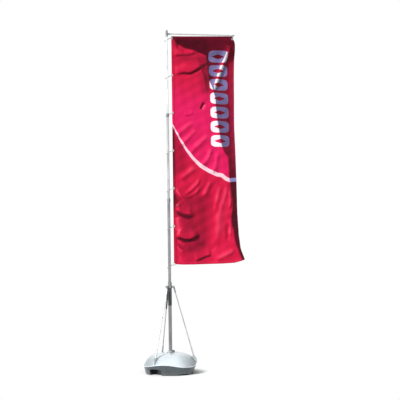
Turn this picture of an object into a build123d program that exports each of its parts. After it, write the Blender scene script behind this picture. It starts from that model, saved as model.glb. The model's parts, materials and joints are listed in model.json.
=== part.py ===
"""Banner flagpole: a telescopic mast with a turning head, stayed to a water-filled ballast base.

Millimetres, +Z up. The origin is on the mast's axis at ground level, and the arm and flag
point along +X.
"""
from build123d import *
import os
from math import cos, exp, hypot, radians, sin, tan, tanh

# Mast sections, from the ground up
SECTION_OD = (50.0, 42.0, 35.0, 28.0)
SECTION_WALL = (2.0, 1.8, 1.6, 1.5)
SECTION_TOP = (1291.0, 2505.0, 3750.0, 4896.0)
SECTION_OVERLAP = 350.0
MAST_FOOT_Z = 60.0

# Twist locks at the top of the three outer sections
LOCK_WALL = 4.0
LOCK_GRIP = 30.0
LOCK_LIP = 15.0
LOCK_FLUTES = 12
LOCK_FLUTE_R = 2.0
LOCK_CHAMFER = 1.5
ROD_CLEARANCE = 0.35
SEAT_CLEARANCE = 0.1

# Guide bushes on the lower ends of the three inner sections
BUSH_LENGTH = 45.0
BUSH_CLEARANCE = 0.3

# Ballast tank: a dome cut by a three-lobed wall that leans out from the ground to the rim
BASE_TURN = -17.6
TANK_R = 379.0
RIM_Z = 130.0
LOBE_RISE = 16.0
LOBE_TURN = 82.6
WALL_LEAN = 12.0
WALL_POINTS = 24
TANK_TOP_Z = 288.0
TANK_TOP_R = 84.0
DOME = ((16.0, 188.0), (-13.0, 128.0), (-34.0, 95.0), (-69.0, 58.0), (-129.0, 26.0), (-199.0, 7.0))
RIM_ROUND = 9.0
UNDERSIDE_INSET = 143.0
UNDERSIDE_RISE = 22.0
SOCKET_CLEARANCE = 0.4

# Three grip recesses, under the stays
GRIP_WIDTH = 212.0
GRIP_HEIGHT = 96.0
GRIP_DEPTH = 117.0
GRIP_CORNER_R = 30.0
GRIP_TAPER = 6.0
CUT_BEYOND = 60.0

# Three low arches, which leave two feet between neighbouring recesses
ARCH_WIDTH = 190.0
ARCH_HEIGHT = 27.0
ARCH_CORNER_R = 18.0
ARCH_TURN = 69.0

# Collar where the mast leaves the tank
COLLAR_FLANGE_R = 53.5
COLLAR_FLANGE_H = 8.0
COLLAR_NECK_R = 35.0
COLLAR_TOP_Z = 320.0

# Filler opening
FILLER_INSET = 189.0
FILLER_TURN = 90.0
FILLER_BOSS_R = 38.0
FILLER_BOSS_DROP = 1.0
FILLER_CAP_R = 32.0
FILLER_CAP_H = 13.0
FILLER_RIBS = 18

# Stays
STAY_COUNT = 3
STAY_ROD_R = 8.0
STAY_ROD_WALL = 1.5
STAY_PIN_R = 4.0
STAY_HEAD_RADIUS = 58.0
STAY_FOOT_INSET = 33.0
STAY_FOOT_DROP = 72.0
STAY_SLEEVE_R = 11.5
STAY_TONGUE = 8.0
STAY_EYE_R = 13.0
STAY_EYE_LENGTH = 31.0
SOCKET_DEPTH = 34.0
TOP_SLEEVES = (62.0, 310.0, 310.0)
FOOT_SLEEVES = (120.0, 120.0, 120.0)

# Collar that the stays hang from
STAY_COLLAR_R = 33.0
STAY_COLLAR_H = 40.0
EAR_THICKNESS = 5.0
EAR_SIDE_GAP = 0.4
EAR_END_R = 14.0
KNOB_R = 17.0
KNOB_H = 16.0
KNOB_LOBES = 5

# Anchors on the tank, measured from the stay's lower pin
ANCHOR_CHEEK = 7.0
ANCHOR_INWARD = 40.0
ANCHOR_OUTWARD = 38.0
ANCHOR_ABOVE = 24.0
ANCHOR_BELOW = 62.0
ANCHOR_NOSE_DROP = 26.0
ANCHOR_ROOT = 6.0
ANCHOR_SHELF = 12.0
PIN_PROUD = 4.0
EYE_CLEARANCE = 1.5

# Turning head
HUB_R = 24.0
HUB_FLOOR_GAP = 0.5
HUB_CROWN = 12.5
HUB_EDGE_R = 3.0
PLUG_FLANGE_H = 4.0
PLUG_DEPTH = 34.0
SPIGOT_R = 9.0
SPIGOT_H = 46.0
FINIAL_R = 21.5
FINIAL_H = 33.0
FINIAL_NECK = 8.0
FINIAL_BELT_Z = 15.0

# Arm
ARM_R = 8.0
ARM_WALL = 1.4
ARM_RISE = 39.5
ARM_END_X = 990.0
ARM_BOSS_R = 14.0
ARM_BOSS_X = 52.0
ARM_SOCKET_X = 14.0
ARM_CAP_R = 10.0
ARM_CAP_LENGTH = 26.0
ARM_CAP_INSERT = 18.0

# Flag
FLAG_EDGE_X = 66.0
FLAG_DROP = 40.0
FLAG_HEIGHT = 3330.0
FLAG_WIDTH = 922.0
FLAG_FLARE_RISE = 580.0
FLAG_TIP_RISE = 44.0
FLAG_TIP_OUT = 104.0
FLAG_CLOTH = 1.0
FLAG_HEM = 27.0
FLAG_TOP_HEM = 34.0

# Flag's main form, in distances across and down from its upper mast corner
BROW = ((0.0, 12.0), (83.0, 93.0), (198.0, 149.0), (388.0, 215.0), (560.0, 280.0), (1200.0, 330.0))
TURN = ((240.0, 500.0), (400.0, 560.0), (820.0, 640.0), (1285.0, 672.0), (1600.0, 739.0), (1910.0, 871.0),
        (2700.0, 878.0), (3070.0, 975.0), (3330.0, 1060.0))
HOLLOW_SLOPE = 0.50
RISE_SLOPE = 0.42
BACK_SLOPE = 0.46
DEEPEST = 150.0
INNER_PART = (400.0, 620.0)
HOLLOW_END = (900.0, 2000.0)
BACK_START = (180.0, 500.0)
TROUGH_ACROSS = 500.0
TROUGH_REACH = 160.0
TROUGH_DEPTH = 50.0
TROUGH_START = (2100.0, 2600.0)
HEM_EASE = 90.0
SECTIONS = 20
SECTION_GROWTH = 1.4
SECTION_STEP_X = 90.0

# Flag rings
RING_COUNT = 7
RING_DROP = 27.0
RING_TAIL = 15.0
RING_R = 42.0
RING_WIRE_R = 3.2
RING_TILT = 30.0
RING_SHIFT = 3.0
CLIP_HEIGHT = 32.0
CLIP_BELOW = 4.0
CLIP_CHEEK = 2.2
CLIP_DEPTH = 20.0
CLIP_GAP = 0.4
CLIP_TONGUE = 6.0


def ring_of(outer_r, inner_r, low, high):
    """A plain round tube about Z."""
    height = high - low
    tube = Cylinder(outer_r, height) - Cylinder(inner_r, height)
    return Pos(0, 0, low + height / 2) * tube


def turned(piece, angle):
    """The piece turned about the mast's axis."""
    return Rot(0, 0, angle) * piece


def stay_angle(i):
    """Direction of stay i from the mast."""
    return BASE_TURN + 360.0 / STAY_COUNT * i


def section_r(i):
    """Outer radius of mast section i, counted from the ground."""
    return SECTION_OD[i] / 2


def section_bore(i):
    """Inner radius of mast section i."""
    return section_r(i) - SECTION_WALL[i]


def section_low(i):
    """Lower end of mast section i, raised to its full height."""
    return MAST_FOOT_Z if i == 0 else SECTION_TOP[i - 1] - SECTION_OVERLAP


def mast_section(i):
    """Drawn aluminium tube."""
    return ring_of(section_r(i), section_bore(i), section_low(i), SECTION_TOP[i])


def guide_bush(i):
    """Plastic bush on the lower end of section i, running in the section below it."""
    low = section_low(i)
    return ring_of(section_bore(i - 1) - BUSH_CLEARANCE, section_r(i) + SEAT_CLEARANCE, low, low + BUSH_LENGTH)


def lock_collar(i):
    """Fluted twist lock on the upper end of section i, closing on section i + 1."""
    outer_r = section_r(i) + LOCK_WALL
    low = SECTION_TOP[i] - LOCK_GRIP
    high = SECTION_TOP[i] + LOCK_LIP
    body = Pos(0, 0, (low + high) / 2) * Cylinder(outer_r, high - low)
    body = chamfer(body.edges().filter_by(GeomType.CIRCLE), LOCK_CHAMFER)
    body -= ring_of(section_r(i) + SEAT_CLEARANCE, 0.5, low, SECTION_TOP[i]) + Pos(
        0, 0, (low + high) / 2
    ) * Cylinder(section_r(i + 1) + ROD_CLEARANCE, high - low)
    flute = Pos(outer_r + LOCK_FLUTE_R / 2, 0, low + LOCK_GRIP / 2) * Cylinder(LOCK_FLUTE_R, LOCK_GRIP * 0.7)
    for step in range(LOCK_FLUTES):
        body -= turned(flute, 360.0 / LOCK_FLUTES * step)
    return body


def wall_plan(z):
    """The tank wall's lobed outline at one height."""
    points = []
    for step in range(WALL_POINTS):
        angle = 360.0 / WALL_POINTS * step
        lobe = LOBE_RISE * cos(radians(STAY_COUNT * (angle - BASE_TURN - LOBE_TURN)))
        r = TANK_R + lobe + (z - RIM_Z) * tan(radians(WALL_LEAN))
        points.append((r * cos(radians(angle)), r * sin(radians(angle))))
    return Pos(0, 0, z) * make_face(Spline(points, periodic=True))


def dome_turned():
    """The dome, turned about Z, with the tank's hollow underside."""
    slope = [(TANK_R + out, 0, TANK_TOP_Z - drop) for out, drop in DOME]
    dome = Spline(slope + [(TANK_TOP_R, 0, TANK_TOP_Z)], tangents=[(-0.45, 0, 1), (-1, 0, 0)])
    underside_r = TANK_R - UNDERSIDE_INSET
    closing = Polyline(
        (TANK_TOP_R, 0, TANK_TOP_Z),
        (0, 0, TANK_TOP_Z),
        (0, 0, UNDERSIDE_RISE),
        (underside_r - UNDERSIDE_RISE, 0, UNDERSIDE_RISE),
        (underside_r, 0, 0),
        (slope[0][0], 0, 0),
        slope[0],
    )
    return revolve(make_face(dome.edges() + closing.edges()), Axis.Z)


def side_cut(width, height, corner, taper):
    """A rounded hollow cut in from outside at angle 0, open to the ground."""
    start = TANK_R + CUT_BEYOND
    face_plane = Plane(origin=(start, 0, 0), x_dir=(0, 1, 0), z_dir=(-1, 0, 0))
    return extrude(face_plane * RectangleRounded(width, 2 * height, corner), CUT_BEYOND + GRIP_DEPTH, taper=taper)


def ballast_tank():
    """The moulded tank, filled with water."""
    body = dome_turned() & loft([wall_plan(0), wall_plan(TANK_TOP_Z)])
    body = fillet(body.edges().filter_by_position(Axis.Z, RIM_Z / 2, RIM_Z * 1.5), RIM_ROUND)
    boss_top = TANK_TOP_Z - FILLER_BOSS_DROP
    boss_h = boss_top - 2 * UNDERSIDE_RISE
    filler = Pos(TANK_R - FILLER_INSET, 0, boss_top - boss_h / 2) * Cylinder(FILLER_BOSS_R, boss_h)
    body += turned(filler, BASE_TURN + FILLER_TURN)
    for i in range(STAY_COUNT):
        body -= turned(side_cut(GRIP_WIDTH, GRIP_HEIGHT, GRIP_CORNER_R, GRIP_TAPER), stay_angle(i))
        body -= turned(side_cut(ARCH_WIDTH, ARCH_HEIGHT, ARCH_CORNER_R, GRIP_TAPER), stay_angle(i) + ARCH_TURN)
    socket_h = TANK_TOP_Z - MAST_FOOT_Z
    body -= Pos(0, 0, MAST_FOOT_Z + socket_h / 2) * Cylinder(section_r(0) + SOCKET_CLEARANCE, socket_h)
    return body


def socket_collar():
    """Flanged collar that steadies the mast where it leaves the tank."""
    bore = section_r(0) + SEAT_CLEARANCE
    flange = ring_of(COLLAR_FLANGE_R, bore, TANK_TOP_Z, TANK_TOP_Z + COLLAR_FLANGE_H)
    neck = ring_of(COLLAR_NECK_R, bore, TANK_TOP_Z, COLLAR_TOP_Z)
    body = flange + neck
    return chamfer(body.faces().sort_by(Axis.Z)[-1].outer_wire().edges(), 2.0)


def filler_cap():
    """Ribbed screw cap."""
    cap = Cylinder(FILLER_CAP_R, FILLER_CAP_H)
    cap = chamfer(cap.faces().sort_by(Axis.Z)[-1].edges(), 2.0)
    groove = Pos(FILLER_CAP_R + 1, 0, -2) * Cylinder(2.2, FILLER_CAP_H)
    for step in range(FILLER_RIBS):
        cap -= turned(groove, 360.0 / FILLER_RIBS * step)
    cap = Pos(TANK_R - FILLER_INSET, 0, TANK_TOP_Z - FILLER_BOSS_DROP + FILLER_CAP_H / 2) * cap
    return turned(cap, BASE_TURN + FILLER_TURN)


def stay_head_z():
    """Height of the stays' upper pins, half way up the stay collar."""
    return SECTION_TOP[0] - LOCK_GRIP - STAY_COLLAR_H / 2


def stay_foot_r():
    """Distance of the stays' lower pins from the mast's axis."""
    return TANK_R - STAY_FOOT_INSET


def stay_foot_z():
    """Height of the stays' lower pins, a little above the dome."""
    return TANK_TOP_Z - STAY_FOOT_DROP


def stay_plane():
    """A plane whose z runs down the stay at angle 0, from its upper pin, with y across the stay."""
    run = (stay_foot_r() - STAY_HEAD_RADIUS, 0, stay_foot_z() - stay_head_z())
    return Plane(origin=(STAY_HEAD_RADIUS, 0, stay_head_z()), x_dir=(run[2], 0, -run[0]), z_dir=run)


def stay_length():
    """Distance between a stay's two pins."""
    return hypot(stay_foot_r() - STAY_HEAD_RADIUS, stay_head_z() - stay_foot_z())


def end_fitting(sleeve):
    """Eye, tongue and sleeve of a stay's end, with the eye's centre at 0 and the sleeve up +Z."""
    eye = Rot(90, 0, 0) * Cylinder(STAY_EYE_R, STAY_TONGUE)
    tongue = Pos(0, 0, STAY_EYE_LENGTH / 2) * Box(2 * STAY_SLEEVE_R, STAY_TONGUE, STAY_EYE_LENGTH)
    barrel = Pos(0, 0, STAY_EYE_LENGTH + sleeve / 2) * Cylinder(STAY_SLEEVE_R, sleeve)
    barrel = chamfer(barrel.edges().filter_by(GeomType.CIRCLE), 2.0)
    body = eye + tongue + barrel
    body -= Rot(90, 0, 0) * Cylinder(STAY_PIN_R + SEAT_CLEARANCE, STAY_TONGUE)
    floor = STAY_EYE_LENGTH + sleeve - SOCKET_DEPTH
    body -= Pos(0, 0, floor + SOCKET_DEPTH / 2) * Cylinder(STAY_ROD_R + SEAT_CLEARANCE, SOCKET_DEPTH)
    return body


def stay_rod(i):
    """The tube between the two sockets of stay i."""
    start = STAY_EYE_LENGTH + TOP_SLEEVES[i] - SOCKET_DEPTH
    end = stay_length() - STAY_EYE_LENGTH - FOOT_SLEEVES[i] + SOCKET_DEPTH
    return turned(stay_plane() * ring_of(STAY_ROD_R, STAY_ROD_R - STAY_ROD_WALL, start, end), stay_angle(i))


def stay_top(i):
    """Upper end fitting of stay i."""
    return turned(stay_plane() * end_fitting(TOP_SLEEVES[i]), stay_angle(i))


def stay_foot(i):
    """Lower end fitting of stay i."""
    flipped = Pos(0, 0, stay_length()) * Rot(180, 0, 0) * end_fitting(FOOT_SLEEVES[i])
    return turned(stay_plane() * flipped, stay_angle(i))


def ear_inner():
    """Half the gap between two ears or cheeks."""
    return STAY_TONGUE / 2 + EAR_SIDE_GAP


def stay_collar():
    """Clamp collar with three pairs of ears."""
    low = stay_head_z() - STAY_COLLAR_H / 2
    high = stay_head_z() + STAY_COLLAR_H / 2
    body = Pos(0, 0, (low + high) / 2) * Cylinder(STAY_COLLAR_R, high - low)
    body = chamfer(body.edges().filter_by(GeomType.CIRCLE), 2.0)
    for i in range(STAY_COUNT):
        for side in (-1, 1):
            y = side * (ear_inner() + EAR_THICKNESS / 2)
            ear = Pos(STAY_HEAD_RADIUS, y, stay_head_z()) * Rot(90, 0, 0) * Cylinder(EAR_END_R, EAR_THICKNESS)
            web = Pos(STAY_HEAD_RADIUS / 2, y, stay_head_z()) * Box(STAY_HEAD_RADIUS, EAR_THICKNESS, 2 * EAR_END_R)
            body += turned(ear + web, stay_angle(i))
    body -= Pos(0, 0, (low + high) / 2) * Cylinder(section_r(0) + SEAT_CLEARANCE, high - low)
    for i in range(STAY_COUNT):
        pin = Pos(STAY_HEAD_RADIUS, 0, stay_head_z()) * Rot(90, 0, 0) * Cylinder(
            STAY_PIN_R + SEAT_CLEARANCE, 2 * (ear_inner() + EAR_THICKNESS)
        )
        body -= turned(pin, stay_angle(i))
    return body


def knob_body(radius, height, lobes):
    """Star knob about Z, from 0 upwards."""
    body = Pos(0, 0, height / 2) * Cylinder(radius, height)
    for step in range(lobes):
        body -= turned(Pos(radius * 1.22, 0, height / 2) * Cylinder(radius * 0.42, height), 360.0 / lobes * step)
    return chamfer(body.faces().sort_by(Axis.Z)[-1].edges(), 1.2)


def stay_knob(i):
    """Star knob and its bolt through the ears of stay i."""
    reach = ear_inner() + EAR_THICKNESS
    bolt = Pos(0, 0, 1) * Cylinder(STAY_PIN_R, 2 * reach + 2)
    head = Pos(0, 0, -reach - 3) * extrude(RegularPolygon(7.0, 6), 3)
    knob = Pos(0, 0, reach) * knob_body(KNOB_R, KNOB_H, KNOB_LOBES)
    piece = Pos(STAY_HEAD_RADIUS, 0, stay_head_z()) * Rot(90, 0, 0) * (bolt + head + knob)
    return turned(piece, stay_angle(i))


def stay_anchor(i, tank):
    """Two-cheeked bracket moulded to the tank's shoulder, with the pin of stay i."""
    width = 2 * (ear_inner() + ANCHOR_CHEEK)
    pin_r, pin_z = stay_foot_r(), stay_foot_z()
    side = Polyline(
        (pin_r - ANCHOR_INWARD, 0, pin_z - ANCHOR_NOSE_DROP),
        (pin_r - ANCHOR_INWARD, 0, pin_z + ANCHOR_ABOVE),
        (pin_r + ANCHOR_SHELF, 0, pin_z + ANCHOR_ABOVE),
        (pin_r + ANCHOR_OUTWARD, 0, pin_z - ANCHOR_NOSE_DROP),
        (pin_r + ANCHOR_OUTWARD, 0, pin_z - ANCHOR_BELOW),
        (pin_r - ANCHOR_ROOT, 0, pin_z - ANCHOR_BELOW),
        close=True,
    )
    block = extrude(make_face(side.edges()), width / 2, both=True)
    slot_low = pin_z - STAY_EYE_R - EYE_CLEARANCE
    slot_h = ANCHOR_ABOVE + STAY_EYE_R + 2 * EYE_CLEARANCE
    block -= Pos(pin_r, 0, slot_low + slot_h / 2) * Box(
        2 * (ANCHOR_INWARD + ANCHOR_OUTWARD), 2 * ear_inner(), slot_h
    )
    pin = Pos(pin_r, 0, pin_z) * Rot(90, 0, 0) * Cylinder(STAY_PIN_R, width + 2 * PIN_PROUD)
    piece = turned(block + pin, stay_angle(i)) - tank
    return piece.solids().sort_by(SortBy.VOLUME)[-1]


def top_plug():
    """Plug in the top section, with the spigot that the head turns on."""
    seat = SECTION_TOP[3]
    plug = Pos(0, 0, seat - PLUG_DEPTH / 2) * Cylinder(section_bore(3) - SEAT_CLEARANCE, PLUG_DEPTH)
    flange = Pos(0, 0, seat + PLUG_FLANGE_H / 2) * Cylinder(section_r(3), PLUG_FLANGE_H)
    spigot = Pos(0, 0, seat + PLUG_FLANGE_H + SPIGOT_H / 2) * Cylinder(SPIGOT_R, SPIGOT_H)
    return plug + flange + spigot


def hub_floor():
    """Underside of the turning hub."""
    return SECTION_TOP[3] + PLUG_FLANGE_H + HUB_FLOOR_GAP


def hub_height():
    """Height of the turning hub, to a little above the arm's boss."""
    return ARM_RISE + ARM_BOSS_R + HUB_CROWN


def arm_z():
    """Height of the arm's axis."""
    return hub_floor() + ARM_RISE


def swivel_hub():
    """Turning hub with the arm's socket."""
    low = hub_floor()
    body = Pos(0, 0, low + hub_height() / 2) * Cylinder(HUB_R, hub_height())
    body = fillet(body.edges().filter_by(GeomType.CIRCLE), HUB_EDGE_R)
    boss = Pos(ARM_BOSS_X / 2, 0, arm_z()) * Rot(0, 90, 0) * Cylinder(ARM_BOSS_R, ARM_BOSS_X)
    boss = chamfer(boss.faces().sort_by(Axis.X)[-1].edges(), 2.0)
    body += boss
    body -= Pos(0, 0, low + SPIGOT_H / 2) * Cylinder(SPIGOT_R + ROD_CLEARANCE, SPIGOT_H)
    arm_hole = ARM_BOSS_X - ARM_SOCKET_X
    body -= Pos(ARM_SOCKET_X + arm_hole / 2, 0, arm_z()) * Rot(0, 90, 0) * Cylinder(ARM_R + SEAT_CLEARANCE, arm_hole)
    return body


def finial():
    """Turned cap on the hub."""
    foot = hub_floor() + hub_height()
    neck = FINIAL_R - FINIAL_NECK
    neck_z = foot + FINIAL_BELT_Z / 2
    outline = Polyline((neck, 0, neck_z), (neck, 0, foot), (0, 0, foot), (0, 0, foot + FINIAL_H))
    crown = Spline(
        [(0, 0, foot + FINIAL_H), (FINIAL_R, 0, foot + FINIAL_BELT_Z), (neck, 0, neck_z)],
        tangents=[(1, 0, 0), (-1, 0, 0)],
    )
    return revolve(make_face(outline.edges() + crown.edges()), Axis.Z)


def arm_tube():
    """Arm along the flag's upper edge."""
    length = ARM_END_X - ARM_SOCKET_X
    tube = Cylinder(ARM_R, length) - Cylinder(ARM_R - ARM_WALL, length)
    return Pos(ARM_SOCKET_X + length / 2, 0, arm_z()) * Rot(0, 90, 0) * tube


def flag_top():
    """Height of the flag's upper edge."""
    return arm_z() - FLAG_DROP


def cloth_fork(depth, height):
    """Two cheeks either side of the cloth, from x = 0 outwards, joined by a back of the tongue's width."""
    half_gap = FLAG_CLOTH / 2 + CLIP_GAP
    width = 2 * (half_gap + CLIP_CHEEK)
    block = Pos((depth - CLIP_TONGUE) / 2, 0, 0) * Box(depth + CLIP_TONGUE, width, height)
    return block - Pos(depth / 2, 0, 0) * Box(depth, 2 * half_gap, height)


def arm_cap():
    """End plug of the arm, with the fork that holds the flag's corner."""
    insert = Pos(ARM_END_X - ARM_CAP_INSERT / 2, 0, arm_z()) * Rot(0, 90, 0) * Cylinder(
        ARM_R - ARM_WALL - SEAT_CLEARANCE, ARM_CAP_INSERT
    )
    knob = Pos(ARM_END_X + ARM_CAP_LENGTH / 2, 0, arm_z()) * Rot(0, 90, 0) * Cylinder(ARM_CAP_R, ARM_CAP_LENGTH)
    knob = chamfer(knob.faces().sort_by(Axis.X)[-1].edges(), 3.0)
    drop_low = flag_top() - CLIP_HEIGHT + CLIP_BELOW
    back_x = FLAG_EDGE_X + FLAG_WIDTH + CLIP_GAP
    drop = Pos(back_x + CLIP_TONGUE, 0, (drop_low + arm_z()) / 2) * Box(CLIP_TONGUE, CLIP_TONGUE, arm_z() - drop_low)
    fork = Pos(back_x, 0, drop_low + CLIP_HEIGHT / 2) * Rot(0, 0, 180) * cloth_fork(CLIP_DEPTH, CLIP_HEIGHT)
    return insert + knob + drop + fork


def eased(span, value):
    """A smooth rise from 0 at the span's start to 1 at its end."""
    share = min(1.0, max(0.0, (value - span[0]) / (span[1] - span[0])))
    return share * share * (3 - 2 * share)


def on_line(points, value):
    """Second coordinate of a line of straight runs where the first has a value."""
    for (start, first), (end, second) in zip(points, points[1:]):
        if value <= end:
            return first + (second - first) * max(0.0, value - start) / (end - start)
    return points[-1][1]


def flag_depth(across, down):
    """How far the cloth lies behind the arm, at a place across and down from its upper mast corner."""
    fall = max(0.0, down - FLAG_TOP_HEM)
    brow = on_line(BROW, across)
    inner = 1 - eased(INNER_PART, across)
    hollow = HOLLOW_SLOPE * min(fall, brow)
    rise = min(RISE_SLOPE * max(0.0, fall - brow) * inner, hollow)
    outer = BACK_SLOPE * max(0.0, across - on_line(TURN, down)) * eased(BACK_START, down)
    trough = TROUGH_DEPTH * exp(-(((across - TROUGH_ACROSS) / TROUGH_REACH) ** 2)) * eased(TROUGH_START, down)
    depth = (hollow - rise) * (1 - eased(HOLLOW_END, down)) + outer + trough
    return DEEPEST * tanh(depth / DEEPEST) * eased((FLAG_HEM, FLAG_HEM + HEM_EASE), across)


def flag_section(down, width):
    """The cloth's plan at one height: its straight hem at the mast, then the billow."""
    count = round((width - FLAG_HEM) / SECTION_STEP_X)
    places = [FLAG_HEM + (width - FLAG_HEM) * step / count for step in range(count + 1)]
    front, back = [
        [(FLAG_EDGE_X + across, y + flag_depth(across, down)) for across in places]
        for y in (-FLAG_CLOTH / 2, FLAG_CLOTH / 2)
    ]
    mast_side = Polyline(front[0], (FLAG_EDGE_X, front[0][1]), (FLAG_EDGE_X, back[0][1]), back[0])
    free_side = Line(front[-1], back[-1])
    plan = make_face(mast_side.edges() + Spline(front).edges() + Spline(back).edges() + free_side.edges())
    return Pos(0, 0, flag_top() - down) * plan


def flag_outline():
    """The flag's outline, cut from front to back, with its lower outer corner swung out."""
    top, bottom = flag_top(), flag_top() - FLAG_HEIGHT
    right = FLAG_EDGE_X + FLAG_WIDTH
    tip = (right + FLAG_TIP_OUT, 0, bottom + FLAG_TIP_RISE)
    flare = (right, 0, bottom + FLAG_FLARE_RISE)
    edges = Polyline(tip, (FLAG_EDGE_X, 0, bottom), (FLAG_EDGE_X, 0, top), (right, 0, top), flare).edges()
    edges += Spline([flare, tip], tangents=[(0, 0, -1), (1, 0, -0.9)]).edges()
    return extrude(make_face(edges), 2 * DEEPEST, both=True)


def flag_cloth():
    """The hung flag: a straight upper hem, and below it the billowed cloth."""
    width = FLAG_WIDTH + FLAG_TIP_OUT + FLAG_HEM
    fall = FLAG_HEIGHT - FLAG_TOP_HEM
    downs = [FLAG_TOP_HEM + fall * (step / SECTIONS) ** SECTION_GROWTH for step in range(SECTIONS + 1)]
    sheet = loft([flag_section(down, width) for down in downs])
    hem = Pos(FLAG_EDGE_X + width / 2, 0, flag_top() - FLAG_TOP_HEM / 2) * Box(width, FLAG_CLOTH, FLAG_TOP_HEM)
    return (sheet + hem) & flag_outline()


def ring_pitch():
    """Distance between rings, the lowest one just below the flag's lower edge."""
    return (FLAG_HEIGHT - RING_DROP + RING_TAIL) / (RING_COUNT - 1)


def flag_ring(i):
    """Loose ring round the mast, with the clip that holds the flag's edge."""
    eye_z = flag_top() - RING_DROP - ring_pitch() * i
    drop = RING_R * sin(radians(RING_TILT))
    reach = RING_SHIFT + RING_R * cos(radians(RING_TILT))
    loop = Pos(RING_SHIFT, 0, eye_z - drop) * Rot(0, -RING_TILT, 0) * Torus(RING_R, RING_WIRE_R)
    fork_x = FLAG_EDGE_X - CLIP_GAP
    tongue = Pos((reach + fork_x) / 2, 0, eye_z) * Box(fork_x - reach, CLIP_TONGUE, 2.4 * RING_WIRE_R)
    fork_z = eye_z - CLIP_BELOW + CLIP_HEIGHT / 2
    fork = Pos(fork_x, 0, fork_z) * cloth_fork(CLIP_DEPTH, CLIP_HEIGHT)
    return loop + tongue + fork


def flagpole():
    """Every piece of the flagpole, by name."""
    tank = ballast_tank()
    pieces = {"ballast_tank": tank, "socket_collar": socket_collar(), "filler_cap": filler_cap()}
    for i in range(4):
        pieces[f"mast_section_{i + 1}"] = mast_section(i)
    for i in range(3):
        pieces[f"lock_collar_{i + 1}"] = lock_collar(i)
        pieces[f"guide_bush_{i + 2}"] = guide_bush(i + 1)
    pieces["stay_collar"] = stay_collar()
    for i in range(STAY_COUNT):
        pieces[f"stay_rod_{i + 1}"] = stay_rod(i)
        pieces[f"stay_top_{i + 1}"] = stay_top(i)
        pieces[f"stay_foot_{i + 1}"] = stay_foot(i)
        pieces[f"stay_knob_{i + 1}"] = stay_knob(i)
        pieces[f"stay_anchor_{i + 1}"] = stay_anchor(i, tank)
    pieces["top_plug"] = top_plug()
    pieces["swivel_hub"] = swivel_hub()
    pieces["finial"] = finial()
    pieces["arm_tube"] = arm_tube()
    pieces["arm_cap"] = arm_cap()
    pieces["flag"] = flag_cloth()
    for i in range(RING_COUNT):
        pieces[f"flag_ring_{i + 1}"] = flag_ring(i)
    return pieces


os.makedirs("parts", exist_ok=True)
for name, piece in flagpole().items():
    export_step(piece, f"parts/{name}.step")
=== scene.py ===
"""Dresses the banner flagpole: its finishes, its hung satin flag, its small hardware and the studio.

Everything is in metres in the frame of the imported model, with the mast on Z and the flag along +X.
"""
from __future__ import annotations

import json
import logging
import math
from collections.abc import Iterable
from dataclasses import dataclass, field
from enum import Enum

import bpy
import numpy as np
from mathutils import Matrix, Vector

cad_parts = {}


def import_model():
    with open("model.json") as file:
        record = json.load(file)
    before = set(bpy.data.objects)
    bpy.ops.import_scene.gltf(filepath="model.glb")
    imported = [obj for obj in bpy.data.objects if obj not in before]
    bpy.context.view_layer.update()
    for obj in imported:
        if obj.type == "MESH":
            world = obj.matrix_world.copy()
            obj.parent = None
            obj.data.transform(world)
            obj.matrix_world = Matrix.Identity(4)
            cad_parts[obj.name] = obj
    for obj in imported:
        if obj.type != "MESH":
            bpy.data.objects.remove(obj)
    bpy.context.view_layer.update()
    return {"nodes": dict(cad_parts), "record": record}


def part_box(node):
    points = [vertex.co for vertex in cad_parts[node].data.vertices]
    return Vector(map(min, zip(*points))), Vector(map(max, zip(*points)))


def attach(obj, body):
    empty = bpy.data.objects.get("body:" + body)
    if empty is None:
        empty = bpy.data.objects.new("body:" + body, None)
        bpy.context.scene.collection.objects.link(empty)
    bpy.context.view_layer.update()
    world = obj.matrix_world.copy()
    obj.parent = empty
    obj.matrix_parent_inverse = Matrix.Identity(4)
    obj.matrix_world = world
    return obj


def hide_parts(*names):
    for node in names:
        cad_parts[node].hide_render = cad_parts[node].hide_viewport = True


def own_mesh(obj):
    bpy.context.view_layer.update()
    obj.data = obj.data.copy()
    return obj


LOG = logging.getLogger("flagpole")
Colour = tuple[float, float, float]
Point = tuple[float, float, float]
Span = tuple[float, float]
Line = tuple[Span, ...]
Socket = bpy.types.NodeSocket
Material = bpy.types.Material
Piece = bpy.types.Object
Array = np.ndarray
# The middle of a noise's range, where most of its values lie.
MIDDLE: Span = (0.3, 0.7)


def smoothstep(low: float, high: float, value: Array | float) -> Array | float:
    """Returns 0 below low, 1 above high and a smooth rise between them."""
    share = np.clip((value - low) / (high - low), 0.0, 1.0)
    return share * share * (3.0 - 2.0 * share)


def fall(low: float, high: float, value: Array | float) -> Array | float:
    """Returns 1 below low, 0 above high and a smooth fall between them."""
    return 1.0 - smoothstep(low, high, value)


def read_line(line: Line, at: Array) -> Array:
    """Returns a line's second coordinate where its first has some values."""
    return np.interp(at, *np.array(line).T)


def scaled(colour: Colour, factor: float, lift: float = 0.0) -> Colour:
    """Returns a colour made darker or paler."""
    return tuple(min(1.0, factor * part + lift) for part in colour)


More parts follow.
